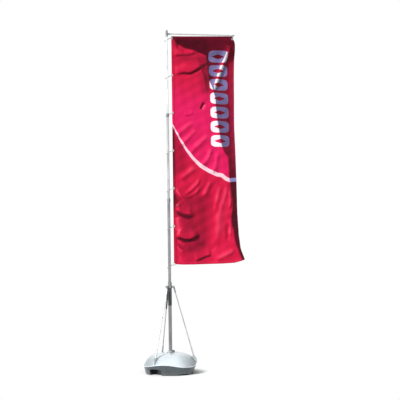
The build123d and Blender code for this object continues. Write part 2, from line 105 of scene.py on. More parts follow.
class Graph:
    """A material's node tree, built one node at a time around a Principled shader."""

    def __init__(self, name: str) -> None:
        """Starts an empty material with a shader and an output.

        Args:
            name: the material's name.
        """
        self.material = bpy.data.materials.new(name)
        self.material.use_nodes = True
        self.tree = self.material.node_tree
        self.tree.nodes.clear()
        self.shader = self.tree.nodes.new("ShaderNodeBsdfPrincipled")
        self.output = self.tree.nodes.new("ShaderNodeOutputMaterial")
        self.link(self.shader.outputs["BSDF"], self.output.inputs["Surface"])

    def link(self, source: Socket, target: Socket) -> None:
        """Joins an output socket to an input socket."""
        self.tree.links.new(source, target)

    def put(self, target: Socket, value: object) -> None:
        """Feeds an input socket from another socket, a colour or a number.

        Args:
            target: the input socket.
            value: a socket to link, or a plain value to set.
        """
        if isinstance(value, Socket):
            self.link(value, target)
        elif isinstance(value, tuple) and len(value) == 3 and target.type == "RGBA":
            target.default_value = (*value, 1.0)
        else:
            target.default_value = value

    def place(self, mapped: str = "Object", scale: Point = (1.0, 1.0, 1.0)) -> Socket:
        """Returns texture coordinates stretched by a scale.

        Args:
            mapped: the name of the coordinate output, such as Object or UV.
            scale: how much each axis is stretched.

        Returns:
            The vector socket.
        """
        source = self.tree.nodes.new("ShaderNodeTexCoord").outputs[mapped]
        mapping = self.tree.nodes.new("ShaderNodeMapping")
        mapping.inputs["Scale"].default_value = scale
        self.link(source, mapping.inputs["Vector"])
        return mapping.outputs["Vector"]

    def noise(self, vector: Socket, scale: float, detail: float = 3.0, rough: float = 0.55) -> Socket:
        """Returns a noise factor between 0 and 1.

        Args:
            vector: where the noise is read.
            scale: features per metre, roughly.
            detail: octaves.
            rough: how strong the fine octaves are.

        Returns:
            The factor socket.
        """
        node = self.tree.nodes.new("ShaderNodeTexNoise")
        for name, number in (("Scale", scale), ("Detail", detail), ("Roughness", rough)):
            node.inputs[name].default_value = number
        self.link(vector, node.inputs["Vector"])
        return node.outputs["Fac"]

    def spread(self, value: Socket, low: float, high: float, to_low: float = 0.0,
               to_high: float = 1.0) -> Socket:
        """Returns a value mapped smoothly from one range to another.

        Args:
            value: the socket to map.
            low: the start of the range read.
            high: the end of the range read.
            to_low: what low becomes.
            to_high: what high becomes.

        Returns:
            The mapped socket.
        """
        node = self.tree.nodes.new("ShaderNodeMapRange")
        node.interpolation_type = "SMOOTHSTEP"
        for name, number in zip(("From Min", "From Max", "To Min", "To Max"), (low, high, to_low, to_high)):
            node.inputs[name].default_value = number
        self.link(value, node.inputs["Value"])
        return node.outputs["Result"]

    def split(self, vector: Socket) -> tuple[Socket, Socket, Socket]:
        """Returns a vector's three parts."""
        node = self.tree.nodes.new("ShaderNodeSeparateXYZ")
        self.link(vector, node.inputs["Vector"])
        return tuple(node.outputs)

    def facing(self) -> Socket:
        """Returns the surface's normal."""
        return self.tree.nodes.new("ShaderNodeNewGeometry").outputs["Normal"]

    def attribute(self, name: str) -> Socket:
        """Returns a number that the mesh carries."""
        node = self.tree.nodes.new("ShaderNodeAttribute")
        node.attribute_name = name
        return node.outputs["Fac"]

    def sum(self, operation: str, *values: object) -> Socket:
        """Returns the result of a Math node on sockets or numbers.

        Args:
            operation: the Math node's operation.
            values: one to three sockets or numbers.

        Returns:
            The value socket.
        """
        node = self.tree.nodes.new("ShaderNodeMath")
        node.operation = operation
        for socket, value in zip(node.inputs, values):
            self.put(socket, value)
        return node.outputs["Value"]

    def product(self, *values: object) -> Socket:
        """Returns the product of sockets and numbers."""
        total = values[0]
        for value in values[1:]:
            total = self.sum("MULTIPLY", total, value)
        return total

    def reach(self, x: Socket, y: Socket) -> Socket:
        """Returns the distance from the Z axis."""
        return self.sum("SQRT", self.sum("ADD", self.product(x, x), self.product(y, y)))

    def mix(self, share: object, first: object, second: object) -> Socket:
        """Returns a colour mixed from two.

        Args:
            share: how much of the second shows.
            first: the colour at 0.
            second: the colour at 1.

        Returns:
            The colour socket.
        """
        node = self.tree.nodes.new("ShaderNodeMix")
        node.data_type = "RGBA"
        for index, value in ((0, share), (6, first), (7, second)):
            self.put(node.inputs[index], value)
        return node.outputs[2]

    def bump(self, height: Socket, depth: float, under: Socket | None = None) -> Socket:
        """Returns a normal bent by a height.

        Args:
            height: the height socket, 0 to 1.
            depth: what a height of 1 is, in metres.
            under: the normal socket to build on, if any.

        Returns:
            The normal socket.
        """
        node = self.tree.nodes.new("ShaderNodeBump")
        node.inputs["Distance"].default_value = depth
        self.link(height, node.inputs["Height"])
        if under is not None:
            self.link(under, node.inputs["Normal"])
        return node.outputs["Normal"]

    def shade(self, **values: object) -> Material:
        """Sets the shader's inputs, named with underscores for spaces, and returns the material."""
        for name, value in values.items():
            self.put(self.shader.inputs[name.replace("_", " ")], value)
        return self.material


@dataclass(frozen=True)
class MouldedPlastic:
    """Injection or rotation moulded plastic with a fine grain, handling marks and settled dust."""

    name: str
    colour: Colour
    roughness: float
    grain_per_m: float = 900.0
    grain_depth: float = 0.00012
    mottle_per_m: float = 9.0
    darkest: float = 0.72
    palest: float = 1.18
    scuffs_per_m: float = 40.0
    scuff_stretch: float = 6.0
    scuff_rise: float = 0.18
    dust: float = 0.25
    dust_tone: Colour = (0.50, 0.48, 0.45)
    coat: float = 0.0
    coat_roughness: float = 0.12

    def build(self) -> Material:
        """Makes the material.

        Returns:
            The material.
        """
        graph = Graph(self.name)
        spot = graph.place()
        mottle = graph.noise(spot, self.mottle_per_m, 4.0, 0.6)
        scuffs = graph.noise(graph.place(scale=(1.0, 1.0, self.scuff_stretch)), self.scuffs_per_m, 5.0, 0.7)
        pale = scaled(self.colour, self.palest, 0.02)
        body = graph.mix(graph.spread(mottle, *MIDDLE), scaled(self.colour, self.darkest), pale)
        up = graph.split(graph.facing())[2]
        settled = graph.product(graph.spread(up, 0.5, 1.0, 0.0, self.dust), mottle)
        roughest = min(1.0, self.roughness + self.scuff_rise)
        return graph.shade(
            Base_Color=graph.mix(settled, body, self.dust_tone),
            Roughness=graph.spread(scuffs, 0.35, 0.75, self.roughness, roughest),
            Normal=graph.bump(graph.noise(spot, self.grain_per_m, 2.0), self.grain_depth),
            Coat_Weight=self.coat,
            Coat_Roughness=self.coat_roughness,
        )


@dataclass(frozen=True)
class DrawnMetal:
    """Anodised drawn tube, with lines along its length, a slight bloom and rubbed streaks."""

    name: str
    colour: Colour
    roughness: float
    line_stretch: Point = (1.0, 1.0, 0.012)
    lines_per_m: float = 1400.0
    line_depth: float = 0.00005
    bloom_per_m: float = 22.0
    darkest: float = 0.78
    palest: float = 1.12
    rubs_per_m: float = 120.0
    rubbed_share: float = 0.35
    rubbed_tone: float = 0.5

    def build(self) -> Material:
        """Makes the material.

        Returns:
            The material.
        """
        graph = Graph(self.name)
        lines = graph.noise(graph.place(scale=self.line_stretch), self.lines_per_m, 3.0, 0.6)
        bloom = graph.noise(graph.place(scale=(1.0, 1.0, 0.25)), self.bloom_per_m, 4.0, 0.6)
        rubs = graph.noise(graph.place(scale=(1.0, 1.0, 0.08)), self.rubs_per_m, 5.0, 0.7)
        shares = (self.darkest, self.palest, self.rubbed_tone)
        dark, pale, rubbed = (scaled(self.colour, share) for share in shares)
        body = graph.mix(graph.spread(bloom, *MIDDLE), dark, pale)
        return graph.shade(
            Base_Color=graph.mix(graph.spread(rubs, 0.62, 0.78, 0.0, self.rubbed_share), body, rubbed),
            Metallic=1.0,
            Roughness=graph.spread(bloom, 0.25, 0.75, self.roughness - 0.06, self.roughness + 0.12),
            Normal=graph.bump(lines, self.line_depth),
        )


@dataclass(frozen=True)
class TankShell:
    """Glossy moulding of the ballast tank, pale on top and dark on its lower wall, with painted light and
    shade: the top is paler where it faces up and the wall darker where it faces sideways, as if lit from
    above, and its hollows get painted shade, nearly black.

    The wall's radius is worked out as in the solid, so that the hollows behind it can be told apart.
    """

    name: str
    # The pale top colour and the dark lower wall colour split by which way the surface faces: painted light
    # on top, painted shade on the sides.
    dome: Colour = (0.60, 0.665, 0.70)
    # Painted shade that darkens the dome towards both its ends along x.
    side_shade_tone: Colour = (0.185, 0.225, 0.245)
    shaded_skirt: Colour = (0.043, 0.058, 0.066)
    # Near black: painted shade inside the recesses and arches.
    hollow: Colour = (0.004, 0.004, 0.005)
    splash: Colour = (0.13, 0.12, 0.105)
    scuff: Colour = (0.26, 0.27, 0.28)
    mottle_per_m: float = 7.0
    side_shade_span: Span = (0.185, 0.365)
    side_shade_share: float = 0.9
    side_power: float = 1.5
    splash_top: float = 0.07
    splash_share: float = 0.55
    splashes_per_m: float = 26.0
    upward: Span = (0.02, 0.16)
    scuffs_per_m: float = 55.0
    scuff_share: float = 0.14
    grain_per_m: float = 320.0
    grain_depth: float = 0.00016
    waves_per_m: float = 5.0
    wave_depth: float = 0.006
    gloss: Span = (0.20, 0.40)
    coat: float = 0.5
    coat_roughness: float = 0.12
    wall_r: float = 0.379
    wall_z: float = 0.130
    lobe_rise: float = 0.016
    lobe_turn: float = math.radians(65.0)
    lobes: float = 3.0
    wall_lean: float = math.tan(math.radians(12.0))
    inside: float = 0.010

    def depth_in(self, graph: Graph, x: Socket, y: Socket, z: Socket) -> Socket:
        """Works out how far inside the tank's wall a place is.

        Args:
            graph: the node tree.
            x: the place's x.
            y: the place's y.
            z: the place's height.

        Returns:
            The depth socket, in metres.
        """
        turn = graph.sum("SUBTRACT", graph.sum("ARCTAN2", y, x), self.lobe_turn)
        lobe = graph.sum("COSINE", graph.product(turn, self.lobes))
        lean = graph.product(graph.sum("SUBTRACT", z, self.wall_z), self.wall_lean)
        wall = graph.sum("ADD", graph.sum("MULTIPLY_ADD", lobe, self.lobe_rise, self.wall_r), lean)
        return graph.sum("SUBTRACT", wall, graph.reach(x, y))

    def dome_tone(self, graph: Graph, x: Socket, y: Socket, even: Socket) -> Socket:
        """Colours the dome, with painted shade darkening it towards its rim at both ends along x.

        Args:
            graph: the node tree.
            x: the place's x.
            y: the place's y.
            even: the mottling, 0 to 1.

        Returns:
            The colour socket.
        """
        clean = graph.mix(even, scaled(self.dome, 0.93), scaled(self.dome, 1.06))
        reach = graph.reach(x, y)
        ends = graph.sum("DIVIDE", graph.sum("ABSOLUTE", x), graph.sum("MAXIMUM", reach, 0.01))
        # Painted shade, growing towards the rim and towards both ends along x.
        side_shade_mask = graph.product(graph.spread(reach, *self.side_shade_span, 0.0, self.side_shade_share),
                             graph.sum("POWER", ends, self.side_power))
        return graph.mix(side_shade_mask, clean, self.side_shade_tone)

    def build(self) -> Material:
        """Makes the material.

        Returns:
            The material.
        """
        graph = Graph(self.name)
        spot = graph.place()
        x, y, z = graph.split(spot)
        up = graph.split(graph.facing())[2]
        even = graph.spread(graph.noise(spot, self.mottle_per_m, 4.0, 0.6), *MIDDLE)
        shaded_skirt = graph.mix(even, scaled(self.shaded_skirt, 0.78), scaled(self.shaded_skirt, 1.25))
        low = graph.spread(z, 0.0, self.splash_top, self.splash_share, 0.0)
        splashes = graph.noise(spot, self.splashes_per_m, 5.0, 0.7)
        shaded_skirt = graph.mix(graph.product(low, splashes), shaded_skirt, self.splash)
        # Pale where it faces up, dark where it faces sideways: painted light on the top and painted shade on
        # the lower wall.
        body = graph.mix(graph.spread(up, *self.upward), shaded_skirt, self.dome_tone(graph, x, y, even))
        scuffs = graph.noise(graph.place(scale=(1.0, 1.0, 5.0)), self.scuffs_per_m, 5.0, 0.75)
        body = graph.mix(graph.spread(scuffs, 0.66, 0.78, 0.0, self.scuff_share), body, self.scuff)
        # Places deep behind the wall that face down get painted shade, nearly black.
        inside = graph.spread(self.depth_in(graph, x, y, z), self.inside, 2.5 * self.inside)
        body = graph.mix(graph.product(inside, graph.spread(up, *self.upward, 1.0, 0.0)), body, self.hollow)
        wave = graph.bump(graph.noise(spot, self.waves_per_m, 2.0), self.wave_depth)
        return graph.shade(
            Base_Color=body,
            Roughness=graph.spread(scuffs, 0.3, 0.8, *self.gloss),
            Normal=graph.bump(graph.noise(spot, self.grain_per_m, 2.0), self.grain_depth, wave),
            Coat_Weight=self.coat,
            Coat_Roughness=self.coat_roughness,
        )


@dataclass(frozen=True)
class FlagCut:
    """The flag's size, cut flat."""

    width: float = 1.06
    height: float = 3.33


@dataclass(frozen=True)
class FlagPrint:
    """The plain decoration on the cloth, in metres across and down from the flag's datum.

    It is a column of rounded blocks, each with a lozenge left open, and a curved stripe.
    """

    stripe: Line = (
        (-0.02, 1.262), (0.012, 1.312), (0.102, 1.492), (0.196, 1.648), (0.297, 1.782), (0.416, 1.900),
        (0.544, 1.976), (0.654, 2.026), (0.728, 2.038), (0.798, 2.092), (0.850, 2.112), (0.960, 2.098),
    )
    stripe_thin: float = 0.015
    stripe_thick: float = 0.056
    stripe_full: float = 0.45
    column: float = 0.718
    column_top: float = 0.156
    link_pitch: float = 0.2115
    link_count: int = 7
    link_half: Span = (0.145, 0.086)
    link_corner: float = 4.0
    hole_half: Span = (0.092, 0.034)
    hole_corner: float = 1.1
    seam: float = 0.031
    thread: float = 0.0016
    stitches_per_m: float = 220.0
    stitch_share: float = 0.7


@dataclass(frozen=True)
class SatinCloth:
    """Printed satin: crimson ground with painted shade, a painted magenta sheen and painted highlights from
    the folds' attributes, hems sewn with thread.
    """

    name: str
    ground: Colour = (0.62, 0.0085, 0.052)
    # The glow is a painted magenta sheen, the next colour a painted highlight and the shade colour painted
    # shade.
    glow: Colour = (0.79, 0.012, 0.125)
    painted_highlight: Colour = (0.88, 0.078, 0.170)
    shade: Colour = (0.100, 0.002, 0.013)
    mark: Colour = (0.96, 0.88, 0.93)
    # The mark and the stripe as they show in painted shade, lavender.
    shaded_mark: Colour = (0.205, 0.172, 0.370)
    stripe: Colour = (0.95, 0.62, 0.69)
    shaded_stripe: float = 1.9
    thread: Colour = (0.50, 0.05, 0.08)
    clouds_per_m: float = 5.0
    mark_shade: Span = (0.40, 0.72)
    stripe_edge: float = 0.0015
    warp: Point = (2200.0, 90.0, 1.0)
    weft: Point = (160.0, 6500.0, 1.0)
    weave_depth: float = 0.00006
    crumples_per_m: float = 34.0
    crumple_stretch: Point = (1.0, 1.0, 0.6)
    crumple_depth: float = 0.0035
    gloss: Span = (0.34, 0.46)
    specular: float = 0.11
    fuzz: float = 0.02
    fuzz_roughness: float = 0.4
    fuzz_tint: tuple[float, float, float, float] = (1.0, 0.35, 0.50, 1.0)
    cut: FlagCut = field(default_factory=FlagCut)
    plan: FlagPrint = field(default_factory=FlagPrint)

    def form(self, graph: Graph, wide: Socket, tall: Socket, half: Span, corner: float) -> Socket:
        """Measures places against a form between a lozenge and an oblong.

        Args:
            graph: the node tree.
            wide: metres across from the form's middle, unsigned.
            tall: metres down from the form's middle, unsigned.
            half: half its width and half its height.
            corner: 1 for a lozenge, 2 for an oval, and more for squarer corners.

        Returns:
            The socket that is 1 on the form's edge and less inside.
        """
        parts = [graph.sum("POWER", graph.sum("DIVIDE", place, reach), corner)
                 for place, reach in zip((wide, tall), half)]
        return graph.sum("ADD", *parts)

    def links(self, graph: Graph, across: Socket, down: Socket) -> Socket:
        """Draws the column of open blocks.

        Args:
            graph: the node tree.
            across: metres across the cloth.
            down: metres down the cloth.

        Returns:
            The socket that is 1 on a block.
        """
        plan = self.plan
        step = graph.sum("DIVIDE", graph.sum("SUBTRACT", down, plan.column_top), plan.link_pitch)
        local = graph.sum("ABSOLUTE", graph.sum("SUBTRACT", graph.sum("FRACT", step), 0.5))
        tall = graph.product(local, plan.link_pitch)
        wide = graph.sum("ABSOLUTE", graph.sum("SUBTRACT", across, plan.column))
        return graph.product(
            graph.sum("LESS_THAN", self.form(graph, wide, tall, plan.link_half, plan.link_corner), 1.0),
            graph.sum("GREATER_THAN", self.form(graph, wide, tall, plan.hole_half, plan.hole_corner), 1.0),
            graph.sum("GREATER_THAN", step, 0.0),
            graph.sum("LESS_THAN", step, float(plan.link_count)),
        )

    def seams(self, graph: Graph, across: Socket, down: Socket) -> Socket:
        """Draws the lines of thread along the hems.

        Args:
            graph: the node tree.
            across: metres across the cloth.
            down: metres down the cloth.

        Returns:
            The socket that is 1 on the thread.
        """
        lines = []
        for place, run, total in ((across, down, self.cut.width), (down, across, self.cut.height)):
            edge = graph.sum("MINIMUM", place, graph.sum("SUBTRACT", total, place))
            off = graph.sum("ABSOLUTE", graph.sum("SUBTRACT", edge, self.plan.seam))
            along = graph.sum("FRACT", graph.product(run, self.plan.stitches_per_m))
            lines.append(graph.product(graph.sum("LESS_THAN", off, self.plan.thread),
                                       graph.sum("LESS_THAN", along, self.plan.stitch_share)))
        return graph.sum("MAXIMUM", *lines)

    def build(self) -> Material:
        """Makes the material.

        Returns:
            The material.
        """
        graph = Graph(self.name)
        u, v, _ = graph.split(graph.place("UV"))
        seams = self.seams(graph, graph.product(u, self.cut.width),
                           graph.product(graph.sum("SUBTRACT", 1.0, v), self.cut.height))
        shade, glow, pale, across, down, off = (graph.attribute(name) for name in CLOTH_ATTRIBUTES)
        cloud = graph.spread(graph.noise(graph.place(), self.clouds_per_m, 3.0, 0.5), 0.2, 0.8, 0.6, 1.0)
        # Painted sheen, painted highlight and painted shade, as the cloth's attributes give them.
        body = graph.mix(graph.product(glow, cloud), self.ground, self.glow)
        body = graph.mix(pale, body, self.painted_highlight)
        body = graph.mix(seams, body, self.thread)
        body = graph.mix(shade, body, self.shade)
        # The print turns lavender where shade is painted.
        mark_shade = graph.spread(shade, *self.mark_shade)
        body = graph.mix(self.links(graph, across, down), body, graph.mix(mark_shade, self.mark, self.shaded_mark))
        stripe = graph.spread(off, -self.stripe_edge, self.stripe_edge, 1.0, 0.0)
        shaded = scaled(self.shaded_mark, self.shaded_stripe)
        body = graph.mix(stripe, body, graph.mix(mark_shade, self.stripe, shaded))
        threads = [graph.noise(graph.place("UV", stretch), 1.0, 1.0) for stretch in (self.warp, self.weft)]
        weave = graph.bump(graph.sum("ADD", *threads), self.weave_depth)
        crumple = graph.noise(graph.place(scale=self.crumple_stretch), self.crumples_per_m, 3.0, 0.55)
        return graph.shade(
            Base_Color=body,
            Roughness=graph.spread(crumple, *MIDDLE, *self.gloss),
            Normal=graph.bump(crumple, self.crumple_depth, weave),
            Specular_IOR_Level=self.specular,
            Sheen_Weight=self.fuzz,
            Sheen_Roughness=self.fuzz_roughness,
            Sheen_Tint=self.fuzz_tint,
        )


# Shade, glow and pale carry painted shade, painted sheen and painted highlight.
CLOTH_ATTRIBUTES = ("shade", "glow", "pale", "across", "down", "stripe")


@dataclass(frozen=True)
class Stroke:
    """A soft line on the cloth: a fold, with its height in metres, or a painted tone from -1 to 1, painted
    shade below 0 and painted highlight above it.

    The path runs left to right or top to bottom, in metres across and down from the flag's datum.
    The lower reach is below the path, or on its left where it runs down; the upper reach is on the
    other hand.
    """

    path: Line
    strength: float
    upper: float
    lower: float
    fade_in: float = 0.25
    fade_out: float = 0.25

    def field(self, across: Array, down: Array) -> Array:
        """Works out the stroke's strength at each place.

        Args:
            across: metres across the cloth.
            down: metres down the cloth.

        Returns:
            The strengths.
        """
        signed, along = signed_distance(self.path, across, down)
        taper = np.ones_like(along)
        if self.fade_in > 0:
            taper = taper * smoothstep(0.0, self.fade_in, along)
        if self.fade_out > 0:
            taper = taper * fall(1.0 - self.fade_out, 1.0, along)
        return self.strength * taper * np.exp(-((signed / np.where(signed > 0, self.lower, self.upper)) ** 2))


def strokes(*rows: tuple) -> tuple[Stroke, ...]:
    """Makes a stroke from each row of its values."""
    return tuple(Stroke(*row) for row in rows)


def signed_distance(path: Line, across: Array, down: Array) -> tuple[Array, Array]:
    """Measures how far each place is from a path of straight runs.

    Args:
        path: the path's points.
        across: metres across the cloth.
        down: metres down the cloth.

    Returns:
        The distance, positive below or left of the path, and the share of the path's length passed.
    """
    points = np.array(path)
    runs = np.diff(points, axis=0)
    lengths = np.hypot(runs[:, 0], runs[:, 1])
    starts = np.concatenate([[0.0], np.cumsum(lengths)[:-1]])
    best = np.full(across.shape, np.inf)
    signed = np.zeros(across.shape)
    along = np.zeros(across.shape)
    for point, run, length, start in zip(points, runs, lengths, starts):
        dx, dy = across - point[0], down - point[1]
        share = np.clip((dx * run[0] + dy * run[1]) / length**2, 0.0, 1.0)
        away = np.hypot(dx - share * run[0], dy - share * run[1])
        side = np.where(run[0] * dy - run[1] * dx >= 0, 1.0, -1.0)
        nearer = away < best
        best = np.where(nearer, away, best)
        signed = np.where(nearer, side * away, signed)
        along = np.where(nearer, (start + share * length) / lengths.sum(), along)
    return signed, along


def mesh_object(name: str, vertices: list, faces: list, smooth: bool = True) -> Piece:
    """Makes a mesh object and links it to the scene.

    Args:
        name: the object's name.
        vertices: corner positions.
        faces: corner indices of each face.
        smooth: whether its faces are shaded smooth.

    Returns:
        The object.
    """
    mesh = bpy.data.meshes.new(name)
    mesh.from_pydata([tuple(v) for v in vertices], [], [tuple(f) for f in faces])
    mesh.validate()
    mesh.polygons.foreach_set("use_smooth", [smooth] * len(mesh.polygons))
    made = bpy.data.objects.new(name, mesh)
    bpy.context.scene.collection.objects.link(made)
    return made


@dataclass(frozen=True)
class Billow:
    """The flag's main form, as in the solid, in metres across and down from its upper mast corner.

    The brow is the crease below the hollow under the upper hem, and the turn is where the outer
    side starts to fall back. Slopes are depth for each metre.
    """

    brow: Line = (
        (0.0, 0.012), (0.083, 0.093), (0.198, 0.148), (0.30, 0.174), (0.388, 0.193), (0.56, 0.262),
        (1.2, 0.33),
    )
    turn: Line = (
        (0.24, 0.50), (0.40, 0.56), (0.60, 0.575), (0.82, 0.635), (1.285, 0.680), (1.60, 0.735),
        (1.72, 0.785), (1.82, 0.828), (2.06, 0.838), (2.38, 0.862), (2.61, 0.874), (2.74, 0.876),
        (2.86, 0.908), (2.99, 0.950), (3.11, 0.984), (3.33, 1.040),
    )
    top_hem: float = 0.026
    hollow_slope: float = 0.50
    rise_slope: float = 0.42
    back_slope: float = 0.46
    deepest: float = 0.15
    inner_part: Span = (0.40, 0.62)
    hollow_end: Span = (0.30, 1.00)
    back_start: Span = (0.18, 0.50)
    trough_across: float = 0.50
    trough_reach: float = 0.16
    trough_depth: float = 0.018
    trough_start: Span = (2.10, 2.60)
    mast_ease: Span = (0.027, 0.117)
    round: float = 0.010

    def past(self, distance: Array) -> Array:
        """Returns a distance past a line, 0 before it, with a rounded start."""
        return 0.5 * (distance + np.sqrt(distance**2 + self.round**2)) - 0.5 * self.round

    def depth(self, across: Array, down: Array) -> Array:
        """Works out how far behind the arm the cloth hangs.

        Args:
            across: metres across the cloth.
            down: metres down the cloth.

        Returns:
            Depths in metres.
        """
        below = self.past(down - self.top_hem)
        brow = np.maximum(0.0, read_line(self.brow, across) - self.top_hem)
        beyond = self.past(below - brow)
        hollow = self.hollow_slope * (below - beyond)
        rise = np.minimum(self.rise_slope * beyond * fall(*self.inner_part, across), hollow)
        outer = self.back_slope * self.past(across - read_line(self.turn, down))
        trough = self.trough_depth * np.exp(-(((across - self.trough_across) / self.trough_reach) ** 2))
        depth = (hollow - rise) * fall(*self.hollow_end, down)
        depth = depth + outer * smoothstep(*self.back_start, down)
        depth = depth + trough * smoothstep(*self.trough_start, down)
        return self.deepest * np.tanh(depth / self.deepest) * smoothstep(*self.mast_ease, across)


@dataclass(frozen=True)
class PaintedSatinShade:
    """Where painted shade darkens the hung satin and where it has a painted sheen, besides the painted
    strokes on it.

    Spans are in metres, and say where a painted tone rises or falls across the cloth, down it or past one
    of its lines. The other numbers are how strong a tone is, apart from gloss_lean, which is the
    slope where the gloss, painted highlight and shade by how a fold leans, is full.
    """

    # The tones below are painted shade, apart from gloss, which paints highlights as well, and the glow
    # spans, which place the painted sheen.
    dark_edge: Line = (
        (-0.05, 0.53), (0.20, 0.53), (0.45, 0.54), (0.62, 0.565), (0.75, 0.61), (0.83, 0.624), (0.872, 0.641),
        (1.03, 0.648), (1.15, 0.658), (1.275, 0.675), (1.40, 0.694), (1.535, 0.715), (1.627, 0.738),
        (1.70, 0.768), (1.761, 0.823), (1.862, 0.834), (2.055, 0.836), (2.147, 0.850), (2.24, 0.856),
        (2.38, 0.878), (2.45, 0.890), (2.53, 0.880), (2.655, 0.852), (2.75, 0.862), (2.855, 0.888),
        (2.96, 0.900), (3.04, 0.914), (3.12, 0.945), (3.22, 0.985), (3.33, 1.030),
    )
    dark_side: Line = (
        (0.0, 0.88), (0.25, 0.86), (0.40, 0.76), (1.10, 0.76), (1.60, 0.80), (2.00, 0.84), (2.12, 1.05),
        (2.35, 1.05), (2.50, 0.95), (2.75, 1.08), (3.30, 1.08),
    )
    side_rise: Span = (-0.008, 0.022)
    hollow: float = 0.88
    hollow_rise: Span = (-0.006, 0.010)
    hollow_across: Span = (0.60, 0.70)
    top_down: Span = (-0.012, 0.030)
    hem: float = 0.26
    hem_rise: Span = (-0.060, -0.045)
    hem_start: Span = (0.20, 0.35)
    hem_end: Span = (1.75, 2.05)
    left: float = 0.42
    left_rise: Span = (0.0, 0.030)
    left_across: Span = (0.10, 0.30)
    left_down: Span = (1.95, 2.12)
    seam: float = 0.75
    seam_rise: Span = (0.0, 0.05)
    seam_across: Span = (0.014, 0.036)
    seam_down: Span = (2.52, 2.60)
    seam_fade: float = 0.6
    # Painted highlight where a fold leans to the light and painted shade where it leans away.
    gloss: float = 0.24
    gloss_lean: float = 0.6
    # Where the painted magenta sheen lies.
    glow_rise: Span = (0.55, 1.1)
    glow_end: Span = (0.0, 0.06)

    def outer_side(self, x: Array, drop: Array, edge: Array) -> Array:
        """Works out the painted shade on the outer side, which falls back from the light, with less of it on
        the hem.

        Args:
            x: metres across the hung cloth.
            drop: metres below its upper edge.
            edge: metres across to the outer edge.

        Returns:
            How dark it is, 0 where it is lit.
        """
        past = x - read_line(self.dark_edge, drop)
        side = smoothstep(*self.side_rise, past) * read_line(self.dark_side, drop)
        hem = smoothstep(*self.hem_rise, x - edge)
        return side - self.hem * hem * smoothstep(*self.hem_start, drop) * fall(*self.hem_end, drop)

    def upper_hollow(self, x: Array, drop: Array, brow: Array) -> Array:
        """Returns the painted shade in the hollow above the brow and on the cloth under the arm."""
        hollow = self.hollow * smoothstep(*self.hollow_rise, brow - drop) * fall(*self.hollow_across, x)
        return np.maximum(hollow, fall(*self.top_down, drop))

    def mast_side(self, x: Array, drop: Array, under: Array) -> Array:
        """Works out the painted shade on the mast side below the stripe, strongest along its edge.

        Args:
            x: metres across the hung cloth.
            drop: metres below its upper edge.
            under: metres below the stripe.

        Returns:
            How dark it is, 0 where it is lit.
        """
        left = smoothstep(*self.left_rise, under) * fall(*self.left_across, x) * fall(*self.left_down, drop)
        seam = fall(*self.seam_across, x) * smoothstep(*self.seam_rise, under)
        seam = seam * (1.0 - self.seam_fade * smoothstep(*self.seam_down, drop))
        return self.left * left + self.seam * seam


